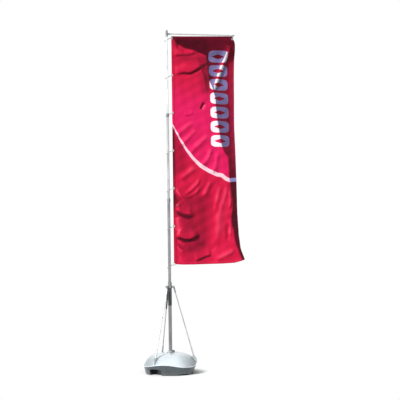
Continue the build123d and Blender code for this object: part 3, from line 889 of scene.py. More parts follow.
CREASES = strokes(
    (((0.64, 0.8), (0.662, 0.7), (0.705, 0.607), (0.764, 0.447), (0.832, 0.288), (0.888, 0.1)), 0.03, 0.045,
     0.02, 0.15, 0.05),
    (((0.007, 0.27), (0.226, 0.257), (0.388, 0.215)), 0.014, 0.05, 0.016, 0.0, 0.2),
    (((0.02, 0.56), (0.1, 0.535), (0.188, 0.51), (0.273, 0.52), (0.369, 0.475), (0.483, 0.4), (0.55, 0.34)),
     0.017, 0.08, 0.018, 0.1, 0.2),
    (((0.15, 0.56), (0.25, 0.555), (0.35, 0.51), (0.45, 0.44), (0.53, 0.385)), -0.012, 0.018, 0.03),
    (((0.488, 0.955), (0.43, 1.068)), -0.018, 0.026, 0.018, 0.3, 0.1),
    (((0.17, 1.15), (0.25, 1.145), (0.33, 1.11)), 0.007, 0.05, 0.016),
    (((0.03, 1.5), (0.12, 1.4), (0.22, 1.32), (0.33, 1.235)), 0.012, 0.035, 0.035),
    (((0.1, 1.63), (0.19, 1.53), (0.28, 1.435), (0.37, 1.345)), 0.012, 0.035, 0.035),
    (((0.24, 1.75), (0.33, 1.64), (0.45, 1.52), (0.55, 1.43)), 0.013, 0.035, 0.04),
    (((0.4, 1.9), (0.48, 1.85), (0.54, 1.75), (0.58, 1.63)), 0.014, 0.03, 0.035),
    (((0.54, 2.02), (0.62, 1.95), (0.655, 1.83), (0.68, 1.66)), 0.011, 0.03, 0.035),
    (((0.1, 2.12), (0.18, 2.04), (0.26, 1.98), (0.34, 1.92)), 0.014, 0.04, 0.04),
    (((0.16, 2.33), (0.24, 2.275), (0.3, 2.215), (0.36, 2.16), (0.42, 2.06)), 0.014, 0.032, 0.03),
    (((0.2, 2.375), (0.28, 2.325), (0.345, 2.285), (0.41, 2.195)), 0.01, 0.02, 0.022),
    (((0.44, 2.37), (0.51, 2.225), (0.57, 2.115)), 0.013, 0.03, 0.035),
    (((0.61, 2.62), (0.637, 2.47), (0.671, 2.32), (0.706, 2.18)), 0.011, 0.03, 0.035),
    (((0.71, 2.62), (0.725, 2.48), (0.78, 2.32), (0.81, 2.14)), 0.008, 0.028, 0.03),
    (((0.83, 2.56), (0.855, 2.42), (0.84, 2.25)), 0.009, 0.02, 0.025),
    (((0.72, 2.5), (0.665, 2.66), (0.668, 2.8), (0.645, 2.95), (0.6, 3.08)), 0.015, 0.05, 0.05),
    (((0.8, 3.02), (0.815, 2.9), (0.8, 2.74)), -0.012, 0.03, 0.035),
    (((0.845, 2.66), (0.852, 2.8), (0.838, 2.96)), 0.01, 0.02, 0.025),
    (((0.6, 3.285), (0.68, 3.255), (0.76, 3.215), (0.84, 3.175), (0.93, 3.12)), 0.016, 0.045, 0.035),
    (((0.01, 2.21), (0.06, 2.27), (0.1, 2.325), (0.15, 2.4)), 0.014, 0.022, 0.028, 0.0, 0.4),
    (((0.02, 2.47), (0.08, 2.545), (0.16, 2.59), (0.26, 2.61), (0.34, 2.6)), 0.032, 0.09, 0.028, 0.1, 0.35),
    (((0.03, 2.66), (0.06, 2.76), (0.06, 2.88)), 0.016, 0.05, 0.04, 0.1, 0.2),
    (((0.03, 2.89), (0.09, 2.93), (0.17, 2.955), (0.24, 2.955), (0.33, 2.92), (0.4, 2.885)), 0.036, 0.1,
     0.026, 0.1, 0.3),
    (((0.06, 2.985), (0.12, 3.04), (0.19, 3.075)), 0.01, 0.018, 0.018),
    (((0.04, 3.06), (0.09, 3.13), (0.155, 3.165)), 0.01, 0.02, 0.02),
    (((0.3, 3.275), (0.4, 3.245), (0.48, 3.212), (0.57, 3.19)), 0.02, 0.07, 0.018, 0.2, 0.2),
    (((0.42, 2.45), (0.45, 2.7), (0.44, 2.95), (0.42, 3.1)), -0.008, 0.13, 0.13),
)
# Painted shade, below 0, and painted highlights, above 0, along the folds.
PAINTED_SHADING = strokes(
    (((0.02, 0.262), (0.1, 0.262), (0.24, 0.246), (0.331, 0.222), (0.41, 0.205)), -0.42, 0.012, 0.016, 0.5,
     0.0),
    (((0.04, 0.31), (0.25, 0.31), (0.5, 0.285)), -0.24, 0.04, 0.05, 0.3, 0.0),
    (((-0.02, 0.2), (0.06, 0.2), (0.2, 0.205)), 0.16, 0.05, 0.03, 0.0, 0.4),
    (((-0.02, 0.46), (0.1, 0.435), (0.25, 0.4), (0.38, 0.365)), 0.14, 0.05, 0.04, 0.0, 0.3),
    (((0.026, 0.581), (0.077, 0.558), (0.145, 0.535), (0.221, 0.537), (0.272, 0.545), (0.331, 0.51),
      (0.416, 0.466), (0.467, 0.416), (0.54, 0.37)), -0.52, 0.016, 0.018, 0.3, 0.0),
    (((0.204, 0.47), (0.28, 0.44), (0.35, 0.42), (0.45, 0.37)), 0.16, 0.012, 0.012),
    (((0.535, 0.5), (0.51, 0.62), (0.5, 0.72), (0.5, 0.86)), -0.4, 0.11, 0.08, 0.2, 0.2),
    (((0.63, 0.83), (0.662, 0.7), (0.705, 0.607), (0.764, 0.447), (0.798, 0.363), (0.832, 0.288),
      (0.891, 0.112)), 1.05, 0.02, 0.02, 0.25, 0.1),
    (((0.492, 0.95), (0.43, 1.073)), -0.85, 0.022, 0.022, 0.35, 0.05),
    (((0.179, 1.17), (0.264, 1.157), (0.331, 1.12)), -0.22, 0.01, 0.012),
    (((0.12, 1.413), (0.22, 1.33), (0.331, 1.245)), 0.22, 0.03, 0.03),
    (((0.187, 1.539), (0.28, 1.44), (0.365, 1.354)), 0.22, 0.026, 0.026),
    (((0.331, 1.648), (0.45, 1.53), (0.543, 1.438)), 0.24, 0.03, 0.03),
    (((0.577, 1.63), (0.543, 1.75), (0.49, 1.87)), 0.34, 0.016, 0.016),
    (((0.655, 1.83), (0.645, 1.9), (0.628, 1.98)), 0.26, 0.014, 0.014),
    (((0.145, 1.48), (0.22, 1.42), (0.298, 1.371)), -0.14, 0.016, 0.016),
    (((0.26, 1.6), (0.33, 1.53), (0.41, 1.45)), -0.12, 0.018, 0.018),
    (((0.13, 2.08), (0.19, 2.03), (0.26, 1.98), (0.36, 1.92)), 0.3, 0.045, 0.04),
    (((0.22, 2.295), (0.2975, 2.22), (0.348, 2.17), (0.4, 2.1)), 0.3, 0.024, 0.024),
    (((0.238, 2.354), (0.3315, 2.303), (0.382, 2.245), (0.408, 2.203)), 0.3, 0.012, 0.012),
    (((0.45, 2.354), (0.51, 2.228), (0.57, 2.119)), 0.22, 0.022, 0.022),
    (((0.527, 2.04), (0.46, 2.186), (0.39, 2.28), (0.33, 2.38)), -0.34, 0.024, 0.024),
    (((0.637, 2.1), (0.56, 2.24), (0.5, 2.38)), -0.28, 0.026, 0.026),
    (((0.637, 2.47), (0.671, 2.32), (0.706, 2.18)), 0.24, 0.022, 0.022),
    (((0.722, 2.49), (0.781, 2.32), (0.806, 2.186)), 0.26, 0.02, 0.02),
    (((0.84, 2.52), (0.862, 2.4), (0.84, 2.25)), 0.26, 0.016, 0.016),
    (((0.026, 2.228), (0.0856, 2.303), (0.145, 2.387), (0.17, 2.45)), 0.42, 0.018, 0.016, 0.05, 0.3),
    (((0.02, 2.29), (0.045, 2.4), (0.06, 2.52)), -0.62, 0.04, 0.03, 0.2, 0.1),
    (((0.035, 2.545), (0.077, 2.597), (0.145, 2.636), (0.23, 2.655), (0.31, 2.648)), -0.7, 0.02, 0.024, 0.1,
     0.3),
    (((0.035, 2.52), (0.1, 2.565), (0.18, 2.585), (0.28, 2.6)), 0.22, 0.012, 0.012),
    (((0.05, 2.64), (0.065, 2.74), (0.06, 2.88)), 0.5, 0.06, 0.05, 0.1, 0.2),
    (((0.16, 2.3), (0.17, 2.6), (0.17, 2.9), (0.15, 3.18)), -0.32, 0.13, 0.14, 0.1, 0.1),
    (((0.42, 2.3), (0.46, 2.6), (0.46, 2.85), (0.42, 3.12)), -0.44, 0.15, 0.15, 0.1, 0.1),
    (((0.33, 0.27), (0.36, 0.45), (0.34, 0.62)), -0.22, 0.09, 0.09, 0.2, 0.2),
    (((-0.02, 0.34), (0.3, 0.34), (0.55, 0.34)), -0.15, 0.18, 0.16, 0.0, 0.0),
    (((0.2, 3.1), (0.35, 3.08), (0.49, 3.06)), -0.28, 0.08, 0.08, 0.1, 0.1),
    (((0.06, 2.6), (0.2, 2.66), (0.3, 2.7)), -0.16, 0.05, 0.07, 0.1, 0.1),
    (((0.7, 2.28), (0.72, 2.6), (0.7, 2.95)), 0.15, 0.07, 0.07, 0.15, 0.15),
    (((0.832, 2.58), (0.842, 2.85)), -0.2, 0.022, 0.02),
    (((0.12, 2.2), (0.2, 2.36), (0.26, 2.52)), -0.22, 0.16, 0.1, 0.2, 0.2),
    (((0.2, 2.72), (0.24, 2.8), (0.3, 2.86)), -0.26, 0.1, 0.1, 0.1, 0.1),
    (((0.1, 3.18), (0.25, 3.16), (0.5, 3.14)), -0.3, 0.09, 0.14, 0.1, 0.2),
    (((0.035, 2.934), (0.077, 2.962), (0.162, 2.994), (0.23, 2.994), (0.306, 2.969), (0.365, 2.936),
      (0.42, 2.905)), -0.85, 0.02, 0.022, 0.1, 0.25),
    (((0.1, 2.93), (0.17, 2.955), (0.24, 2.955), (0.31, 2.925)), 0.26, 0.012, 0.012),
    (((0.069, 2.992), (0.12, 3.043), (0.187, 3.076)), 0.42, 0.012, 0.01),
    (((0.05, 3.02), (0.1, 3.09), (0.16, 3.13)), -0.34, 0.012, 0.012),
    (((0.043, 3.068), (0.094, 3.135), (0.153, 3.168)), 0.36, 0.014, 0.012),
    (((0.085, 3.2), (0.09, 3.26), (0.095, 3.31)), 0.22, 0.014, 0.014),
    (((0.73, 2.52), (0.672, 2.64), (0.672, 2.77), (0.655, 2.95), (0.628, 3.05)), 0.24, 0.036, 0.036),
    (((0.8, 2.7), (0.812, 2.82), (0.8, 2.95)), -0.1, 0.03, 0.03),
    (((0.849, 2.7), (0.852, 2.8), (0.842, 2.93)), 0.3, 0.014, 0.016),
    (((0.637, 3.269), (0.755, 3.219), (0.84, 3.177), (0.908, 3.135)), 0.38, 0.03, 0.026),
    (((0.56, 3.17), (0.61, 3.12), (0.65, 3.06)), 0.18, 0.016, 0.016),
    (((0.33, 3.3), (0.416, 3.263), (0.501, 3.23), (0.565, 3.216)), -0.62, 0.014, 0.014, 0.15, 0.15),
)


@dataclass(frozen=True)
class Hem:
    """Cloth folded over and sewn along one edge, over a span of the flag's width or height."""

    name: str
    span: Span
    lines: int
    upright: bool


@dataclass
class Flag:
    """The hung satin flag, its hems and its stitching."""

    cut: FlagCut = field(default_factory=FlagCut)
    plan: FlagPrint = field(default_factory=FlagPrint)
    billow: Billow = field(default_factory=Billow)
    shade_paint: PaintedSatinShade = field(default_factory=PaintedSatinShade)
    mast_edge: float = 0.0665
    datum: float = 4.900
    columns: int = 126
    rows: int = 380
    cloth: float = 0.0007
    hem_cloth: float = 0.0016
    # How much of the painted shade, sheen and highlights shows on the back.
    back_paint_share: float = 0.15
    keep: float = 0.12
    fold_gain: float = 1.1
    ripple: float = 0.0025
    ripple_waves: Line = ((31.0, 17.0), (-9.0, 23.0))
    lean_in_view: float = 0.19
    lean_step: float = 0.006
    lean_gains: Span = (0.70, 0.55)
    rings: int = 7
    ring_first: float = 0.027
    ring_pitch: float = 0.553
    ring_reach: float = 0.085
    ring_ease: Span = (0.024, 0.16)
    clip_ease: Span = (0.022, 0.085)
    fork_drop: float = -0.03
    fork_reach: float = 0.05
    fork_ease: Span = (0.80, 0.895)
    top_ease: Span = (-0.03, 0.10)
    blur_taps: int = 13
    edge_samples: int = 400
    outer_edge: Line = (
        (0.0, 0.921), (0.038, 0.921), (0.075, 0.953), (0.12, 0.960), (0.22, 0.957), (0.336, 0.946),
        (0.57, 0.940), (0.92, 0.9365), (1.15, 0.9325), (1.33, 0.932), (1.65, 0.942), (2.2, 0.952),
        (2.6, 0.9575), (2.95, 0.976), (3.15, 1.000), (3.33, 1.062),
    )
    upper_edge: Line = ((0.0, -0.008), (0.20, -0.011), (0.90, -0.029), (1.06, -0.030))
    lower_edge: Line = (
        (0.0, 3.332), (0.12, 3.342), (0.27, 3.344), (0.50, 3.341), (0.72, 3.338), (0.90, 3.330),
        (1.00, 3.305), (1.06, 3.284),
    )
    hems: tuple[Hem, ...] = (
        Hem("mast_hem", (0.0, 0.040), 5, True),
        Hem("outer_hem", (0.976, 1.0), 4, True),
        Hem("top_hem", (0.0, 0.010), 5, False),
        Hem("bottom_hem", (0.992, 1.0), 4, False),
    )
    creases: tuple[Stroke, ...] = CREASES
    painted_shading: tuple[Stroke, ...] = PAINTED_SHADING

    def outline(self, across: Array, down: Array) -> tuple[Array, Array]:
        """Fits the flat cloth into the flag's hung outline.

        Args:
            across: share of the cloth's width, 0 to 1.
            down: share of the cloth's height, 0 to 1.

        Returns:
            Metres across and down from the upper mast corner.
        """
        fine = np.linspace(0.0, self.cut.height, self.edge_samples)
        blur = np.exp(-np.linspace(-2.0, 2.0, self.blur_taps) ** 2)
        edge = np.pad(read_line(self.outer_edge, fine), self.blur_taps // 2, mode="edge")
        right = np.interp(down * self.cut.height, fine, np.convolve(edge, blur / blur.sum(), mode="valid"))
        x = across * right
        bottom, top = read_line(self.lower_edge, x), read_line(self.upper_edge, x)
        drop = top + down * (bottom - top)
        return x + across * self.lean_in_view * self.billow.depth(right, drop), drop

    def held(self, x: Array, drop: Array) -> Array:
        """Works out where the clips, the arm's fork and the upper edge hold the cloth.

        Args:
            x: metres across the hung cloth.
            drop: metres below its upper edge.

        Returns:
            0 where it is held, and 1 where it is free.
        """
        free = np.ones_like(x)
        for ring in range(self.rings):
            above = drop - self.ring_first - ring * self.ring_pitch
            near = np.exp(-((above / self.ring_reach) ** 2))
            free = free * (1.0 - near * fall(*self.ring_ease, x))
        fork = np.exp(-(((drop - self.fork_drop) / self.fork_reach) ** 2)) * smoothstep(*self.fork_ease, x)
        return free * (1.0 - fork) * smoothstep(*self.clip_ease, x) * smoothstep(*self.top_ease, drop)

    def relief(self, x: Array, drop: Array) -> Array:
        """Works out how far the cloth stands towards its front.

        Args:
            x: metres across the hung cloth.
            drop: metres below its upper edge.

        Returns:
            Heights in metres.
        """
        folds = sum(crease.field(x, drop) for crease in self.creases)
        ripple = self.ripple
        for wide, tall in self.ripple_waves:
            ripple = ripple * np.sin(wide * x + tall * drop)
        return (self.fold_gain * folds + ripple) * self.held(x, drop) - self.billow.depth(x, drop)

    def lit(self, x: Array, drop: Array) -> Array:
        """Works out how the folds lean to the upper left, where satin takes the light.

        Args:
            x: metres across the hung cloth.
            drop: metres below its upper edge.

        Returns:
            The lean, positive where the satin is bright.
        """
        step, (wide, tall) = self.lean_step, self.lean_gains
        rightward = self.relief(x + step, drop) - self.relief(x - step, drop)
        downward = self.relief(x, drop + step) - self.relief(x, drop - step)
        return (wide * rightward + tall * downward) / (2.0 * step)

    def tones(self, x: Array, drop: Array) -> dict[str, Array]:
        """Works out the painted shade, painted sheen and painted highlight of the satin at each place, and
        where its print lies.

        Args:
            x: metres across the hung cloth.
            drop: metres below its upper edge.

        Returns:
            One array for each attribute.
        """
        shade_paint, plan = self.shade_paint, self.plan
        under, _ = signed_distance(plan.stripe, x, drop)
        # Painted shade on the outer side, in the upper hollow and on the mast side, painted tones along the
        # folds, and painted highlight and shade by how the folds lean.
        side = shade_paint.outer_side(x, drop, read_line(self.outer_edge, drop))
        dark = np.maximum(shade_paint.upper_hollow(x, drop, read_line(self.billow.brow, x)), side)
        tone = sum(painted_stroke.field(x, drop) for painted_stroke in self.painted_shading) - dark - shade_paint.mast_side(x, drop, under)
        tone = tone + shade_paint.gloss * np.clip(self.lit(x, drop) / shade_paint.gloss_lean, -1.0, 1.0) * (1.0 - side)
        # The painted magenta sheen, kept off the shaded outer side.
        glow = smoothstep(*shade_paint.glow_rise, drop) * fall(*shade_paint.glow_end, under) * (1.0 - side)
        thick = np.interp(x, (0.0, plan.stripe_full), (plan.stripe_thin, plan.stripe_thick))
        shade, pale = np.clip(-tone, 0.0, 1.0), np.clip(tone, 0.0, 1.0)
        return dict(zip(CLOTH_ATTRIBUTES, (shade, glow, pale, x, drop, np.abs(under) - 0.5 * thick)))

    def surface(self, across: Array, down: Array) -> Array:
        """Returns the hung cloth's points at shares of its width and height."""
        x, drop = self.outline(across, down)
        return np.stack([self.mast_edge + x, -self.relief(x, drop), self.datum - drop], axis=-1)

    def grid(self, name: str, across: Array, down: Array, thick: float) -> Piece:
        """Makes a closed sheet over a grid of places, with its UV map, its painted shade, sheen and
        highlights, and where its print lies.

        Args:
            name: the piece's name.
            across: shares of the width, one per column.
            down: shares of the height, one per row.
            thick: the sheet's thickness.

        Returns:
            The sheet.
        """
        wide, tall = np.meshgrid(across, down)
        points = self.surface(wide, tall)
        normal = np.cross(np.gradient(points, axis=0), np.gradient(points, axis=1))
        normal /= np.linalg.norm(normal, axis=-1, keepdims=True)
        front, back = ((points + side * thick * normal).reshape(-1, 3) for side in (0.5, -0.5))
        corner = np.arange(wide.size).reshape(wide.shape)
        face = np.stack([corner[:-1, :-1], corner[1:, :-1], corner[1:, 1:], corner[:-1, 1:]], axis=-1)
        face = face.reshape(-1, 4)
        rim = np.concatenate([corner[:, 0], corner[-1, 1:], corner[-2::-1, -1], corner[0, -2:0:-1]])
        after = np.roll(rim, -1)
        edge = np.stack([rim, rim + corner.size, after + corner.size, after], axis=-1)
        faces = np.concatenate([face, face[:, ::-1] + corner.size, edge])
        sheet = mesh_object(name, np.concatenate([front, back]).tolist(), faces.tolist())
        mesh = sheet.data
        loops = np.empty(len(mesh.loops), dtype=np.int32)
        mesh.loops.foreach_get("vertex_index", loops)
        flat = np.stack([wide.ravel(), 1.0 - tall.ravel()], axis=-1)[loops % corner.size]
        mesh.uv_layers.new(name="UVMap").data.foreach_set("uv", flat.astype(np.float32).ravel())
        for label, values in self.tones(*self.outline(wide, tall)).items():
            # The back shows the painted shade, sheen and highlights only weakly.
            faded = self.back_paint_share if label in ("shade", "glow", "pale") else 1.0
            both = np.concatenate([values.ravel(), faded * values.ravel()])
            mesh.attributes.new(label, "FLOAT", "POINT").data.foreach_set("value", both.astype(np.float32))
        return sheet

    def piece(self, name: str, places: tuple[Array, Array], thick: float,
              material: Material) -> Piece:
        """Makes a cloth piece that rides with the flag.

        Args:
            name: the piece's name.
            places: shares of the width, one per column, and shares of the height, one per row.
            thick: its thickness.
            material: the satin.

        Returns:
            The piece.
        """
        made = self.grid(name, *places, thick)
        made.data.materials.append(material)
        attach(made, "flag_head")
        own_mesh(made)
        LOG.info("%s: %d faces", name, len(made.data.polygons))
        return made

    def build(self, material: Material) -> None:
        """Builds the sheet and its hems.

        Args:
            material: the satin.
        """
        wide, tall = np.linspace(0, 1, self.columns), np.linspace(0, 1, self.rows)
        sheet = self.piece("flag_cloth", (wide, tall), self.cloth, material)
        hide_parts("flag")
        for hem in self.hems:
            lines = np.linspace(*hem.span, hem.lines)
            places = (lines, tall) if hem.upright else (wide, lines)
            self.piece(hem.name, places, self.hem_cloth, material)


@dataclass
class Studio:
    """Camera, lamps, floor and background."""

    azimuth: float = -8.785
    distance: float = 14.0
    eye_height: float = 2.0
    yaw: float = -1.867
    pitch: float = 2.031
    roll: float = 0.768
    focal_px: float = 960.6
    frame_px: float = 400.0
    key_toward: Point = (-0.70, -0.46, 0.55)
    key_power: float = 4.3
    key_spread: float = 9.0
    fill_toward: Point = (0.55, -0.75, 0.35)
    fill_power: float = 0.35
    fill_spread: float = 60.0
    air: float = 0.34
    air_tone: Colour = (0.94, 0.97, 1.0)
    floor_tone: Colour = (0.90, 0.90, 0.90)
    floor_roughness: float = 0.9
    floor_fade: Span = (0.38, 0.60)
    floor_reach: float = 2.4
    floor_sides: int = 64

    def camera(self) -> None:
        """Places the camera at the photograph's viewpoint."""
        lens = bpy.data.cameras.new("camera")
        lens.sensor_width = 36.0
        lens.lens = self.focal_px / self.frame_px * lens.sensor_width
        lens.clip_end = 200.0
        camera = bpy.data.objects.new("camera", lens)
        bpy.context.scene.collection.objects.link(camera)
        bpy.context.scene.camera = camera
        turn = math.radians(self.azimuth)
        place = Vector((self.distance * math.sin(turn), -self.distance * math.cos(turn), self.eye_height))
        aim = (
            Matrix.Rotation(turn + math.radians(self.yaw), 4, "Z")
            @ Matrix.Rotation(math.pi / 2 + math.radians(self.pitch), 4, "X")
            @ Matrix.Rotation(-math.radians(self.roll), 4, "Z")
        )
        camera.matrix_world = Matrix.Translation(place) @ aim

    def lamps(self) -> None:
        """Places a soft key, high on the left, and a weak fill on the right."""
        for name, toward, power, spread in (
            ("key", self.key_toward, self.key_power, self.key_spread),
            ("fill", self.fill_toward, self.fill_power, self.fill_spread),
        ):
            light = bpy.data.lights.new(name, "SUN")
            light.energy = power
            light.angle = math.radians(spread)
            lamp = bpy.data.objects.new(name, light)
            bpy.context.scene.collection.objects.link(lamp)
            lamp.rotation_euler = Vector(toward).to_track_quat("Z", "Y").to_euler()

    def seen(self, tree: bpy.types.NodeTree) -> Socket:
        """Marks the rays that show the background: camera, glossy and transmission rays.

        Args:
            tree: the node tree.

        Returns:
            The socket that is 1 for those rays.
        """
        path = tree.nodes.new("ShaderNodeLightPath")
        total = path.outputs["Is Camera Ray"]
        for name in ("Is Glossy Ray", "Is Transmission Ray"):
            either = tree.nodes.new("ShaderNodeMath")
            either.operation = "MAXIMUM"
            tree.links.new(total, either.inputs[0])
            tree.links.new(path.outputs[name], either.inputs[1])
            total = either.outputs["Value"]
        return total

    def world(self) -> None:
        """Lights the air evenly and shows white behind the object."""
        world = bpy.data.worlds.new("air")
        bpy.context.scene.world = world
        world.use_nodes = True
        nodes, links = world.node_tree.nodes, world.node_tree.links
        nodes.clear()
        air, shown = nodes.new("ShaderNodeBackground"), nodes.new("ShaderNodeBackground")
        air.inputs["Color"].default_value = (*self.air_tone, 1.0)
        air.inputs["Strength"].default_value = self.air
        shown.inputs["Color"].default_value = (1.0, 1.0, 1.0, 1.0)
        mix, out = nodes.new("ShaderNodeMixShader"), nodes.new("ShaderNodeOutputWorld")
        for index, source in enumerate((self.seen(world.node_tree), air.outputs[0], shown.outputs[0])):
            links.new(source, mix.inputs[index])
        links.new(mix.outputs[0], out.inputs["Surface"])

    def floor(self) -> None:
        """Lays a pale floor that fades to the background's white."""
        turns = [360.0 * i / self.floor_sides for i in range(self.floor_sides)]
        rim = [around(turn, self.floor_reach, 0.0) for turn in turns]
        floor = mesh_object("studio_floor", rim, [range(len(rim))])
        graph = Graph("pale_floor")
        x, y, _ = graph.split(graph.place())
        fade = graph.product(graph.spread(graph.reach(x, y), *self.floor_fade), self.seen(graph.tree))
        glow, mix = graph.tree.nodes.new("ShaderNodeEmission"), graph.tree.nodes.new("ShaderNodeMixShader")
        for index, source in enumerate((fade, graph.shader.outputs["BSDF"], glow.outputs["Emission"])):
            graph.link(source, mix.inputs[index])
        graph.link(mix.outputs["Shader"], graph.output.inputs["Surface"])
        floor.data.materials.append(graph.shade(Base_Color=self.floor_tone, Roughness=self.floor_roughness))

    def build(self) -> None:
        """Builds the studio."""
        self.camera()
        self.lamps()
        self.world()
        self.floor()
        bpy.context.scene.view_settings.view_transform = "Standard"


class Finish(Enum):
    """The finishes that pieces take by name."""

    DARK = "dark_plastic"
    FLANGE = "flange_plastic"
    HUB = "hub_plastic"
    STAY = "stay_metal"
    STEEL = "screw_steel"
    RUBBER = "seal_rubber"
    LIP = "rim_plastic"


class Corner(Enum):
    """How the side faces of a turned piece are shaded."""

    ROUND = True
    SHARP = False


class Ends(Enum):
    """How a turned piece ends: closed by flat caps, or bored, with its last row joined to its first."""

    CAPPED = "capped"
    BORED = "bored"


TUBE_TONES: dict[str, Colour] = {
    "mast_section_1": (0.25, 0.25, 0.26),
    "mast_section_2": (0.30, 0.30, 0.315),
    "mast_section_3": (0.45, 0.46, 0.46),
    "mast_section_4": (0.66, 0.68, 0.68),
    "arm_tube": (0.50, 0.51, 0.515),
}
TUBE_ROUGHNESS = 0.36
FINISHES: tuple[TankShell | MouldedPlastic | DrawnMetal, ...] = (
    TankShell("tank_plastic"),
    MouldedPlastic("dark_plastic", (0.040, 0.043, 0.046), 0.45),
    MouldedPlastic("lock_plastic", (0.24, 0.25, 0.255), 0.42),
    MouldedPlastic("ring_plastic", (0.42, 0.43, 0.43), 0.40),
    MouldedPlastic("cap_plastic", (0.30, 0.31, 0.32), 0.35),
    DrawnMetal("stay_metal", (0.50, 0.51, 0.52), 0.34),
    MouldedPlastic("flange_plastic", (0.40, 0.43, 0.44), 0.45),
    MouldedPlastic("hub_plastic", (0.25, 0.26, 0.27), 0.40),
    DrawnMetal("screw_steel", (0.55, 0.55, 0.56), 0.28, line_stretch=(1.0, 1.0, 1.0)),
    MouldedPlastic("seal_rubber", (0.022, 0.022, 0.023), 0.62, grain_per_m=1500.0),
    # Paler than the dome: a painted highlight along the rim's bead.
    MouldedPlastic("rim_plastic", (0.80, 0.84, 0.86), 0.30, coat=0.4),
    *(DrawnMetal(f"{node}_metal", tone, TUBE_ROUGHNESS) for node, tone in TUBE_TONES.items()),
)
NODE_FINISH: dict[str, str] = {
    **{node: f"{node}_metal" for node in TUBE_TONES},
    **dict.fromkeys(("socket_collar", *(f"stay_anchor_{i}" for i in (1, 2, 3))), Finish.FLANGE.value),
    # The stays' knobs and top fittings are alike, but those of stay 2, at the back, keep their slot's darker
    # finish while stays 1 and 3 get paler ones: painted shade on the back stay.
    **dict.fromkeys(("stay_collar", "stay_knob_1", "stay_knob_3", "stay_top_1"), Finish.HUB.value),
    **dict.fromkeys(("arm_cap", "top_plug"), Finish.HUB.value),
    "stay_top_3": Finish.STAY.value,
}


def dress_nodes(frame: dict, materials: dict[str, Material]) -> None:
    """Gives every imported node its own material, or else that of its slot.

    Args:
        frame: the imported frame.
        materials: the materials by name, where those of the slots have the slots' names.
    """
    for part in frame["record"]["subparts"]:
        node = frame["nodes"][part["node"]]
        material = materials.get(NODE_FINISH.get(part["node"], part["material_slot"]))
        if material is not None:
            node.data.materials.clear()
            node.data.materials.append(material)


@dataclass(frozen=True)
class Turned:
    """A small turned part: radius and height pairs along its axis, from the bottom up."""

    outline: Line
    sides: int = 20
    corner: Corner = Corner.ROUND
    ends: Ends = Ends.CAPPED
    sharpest: float = math.radians(40.0)

    def put(self, name: str, places: Iterable[Matrix]) -> Piece:
        """Makes one object of the part repeated at some places.

        Args:
            name: the object's name.
            places: where each copy stands, its axis along the place's Z.

        Returns:
            The object.
        """
        points: list[Vector] = []
        faces: list[list[int]] = []
        turns = [360.0 * step / self.sides for step in range(self.sides)]
        for place in places:
            rows = []
            for radius, height in self.outline:
                rows.append(range(len(points), len(points) + self.sides))
                points += [place @ around(turn, radius, height) for turn in turns]
            if self.ends is Ends.CAPPED:
                faces += [list(reversed(rows[0])), list(rows[-1])]
            else:
                rows.append(rows[0])
            for low, high in zip(rows, rows[1:]):
                faces += [[low[i - 1], low[i], high[i], high[i - 1]] for i in range(self.sides)]
        made = mesh_object(name, points, faces, smooth=False)
        if self.corner is Corner.ROUND:
            made.data.set_sharp_from_angle(angle=self.sharpest)
            made.data.polygons.foreach_set("use_smooth", [True] * len(made.data.polygons))
        return made


def wire(name: str, paths: Iterable[list[Vector]], radius: float, closed: bool = False) -> Piece:
    """Makes bent round wire along some paths.

    Args:
        name: the object's name.
        paths: the points of each wire.
        radius: the wire's radius.
        closed: whether each wire joins its own start.

    Returns:
        The object, as a mesh.
    """
    curve = bpy.data.curves.new(name, "CURVE")
    curve.dimensions = "3D"
    curve.bevel_depth = radius
    curve.bevel_resolution = 3
    curve.use_fill_caps = True
    for path in paths:
        spline = curve.splines.new("POLY")
        spline.points.add(len(path) - 1)
        for point, spot in zip(spline.points, path):
            point.co = (*spot, 1.0)
        spline.use_cyclic_u = closed
    source = bpy.data.objects.new(f"{name}_line", curve)
    bpy.context.scene.collection.objects.link(source)
    bpy.context.view_layer.update()
    mesh = bpy.data.meshes.new_from_object(source.evaluated_get(bpy.context.evaluated_depsgraph_get()))
    bpy.data.objects.remove(source)
    made = bpy.data.objects.new(name, mesh)
    bpy.context.scene.collection.objects.link(made)
    mesh.polygons.foreach_set("use_smooth", [True] * len(mesh.polygons))
    return made


def standing(spot: Vector, toward: Vector) -> Matrix:
    """Returns a place at a spot, with its Z towards a direction."""
    return Matrix.Translation(spot) @ toward.to_track_quat("Z", "Y").to_matrix().to_4x4()


def around(angle: float, radius: float, height: float) -> Vector:
    """Returns the point at an angle in degrees, a radius and a height."""
    return Vector((radius * math.cos(math.radians(angle)), radius * math.sin(math.radians(angle)), height))


UP = Vector((0.0, 0.0, 1.0))
GRUB_SCREW = Turned(((0.0030, -0.001), (0.0030, 0.0008), (0.0022, 0.0016)), sides=6, corner=Corner.SHARP)
RIVET = Turned(((0.0034, -0.0004), (0.0034, 0.0002), (0.0026, 0.0009), (0.0010, 0.0012)), sides=16)
INSERT = Turned(((0.0062, -0.0005), (0.0062, 0.0006), (0.0054, 0.0012), (0.0030, 0.0012), (0.0028, 0.0004)))
BOLT = Turned(((0.0055, -0.002), (0.0055, 0.0035), (0.0045, 0.0045)), sides=6, corner=Corner.SHARP)
WASHER = Turned(((0.0090, 0.0), (0.0092, 0.0004), (0.0090, 0.0012), (0.0042, 0.0012)), sides=24)
FLANGE_SCREW = Turned(
    ((0.0052, -0.001), (0.0052, 0.0022), (0.0040, 0.0034), (0.0022, 0.0034), (0.0020, 0.0020)), sides=18)
GRIP = Turned(
    ((0.0115, -0.001), (0.0115, 0.003), (0.0100, 0.0045), (0.0030, 0.0050)), sides=8, corner=Corner.SHARP)


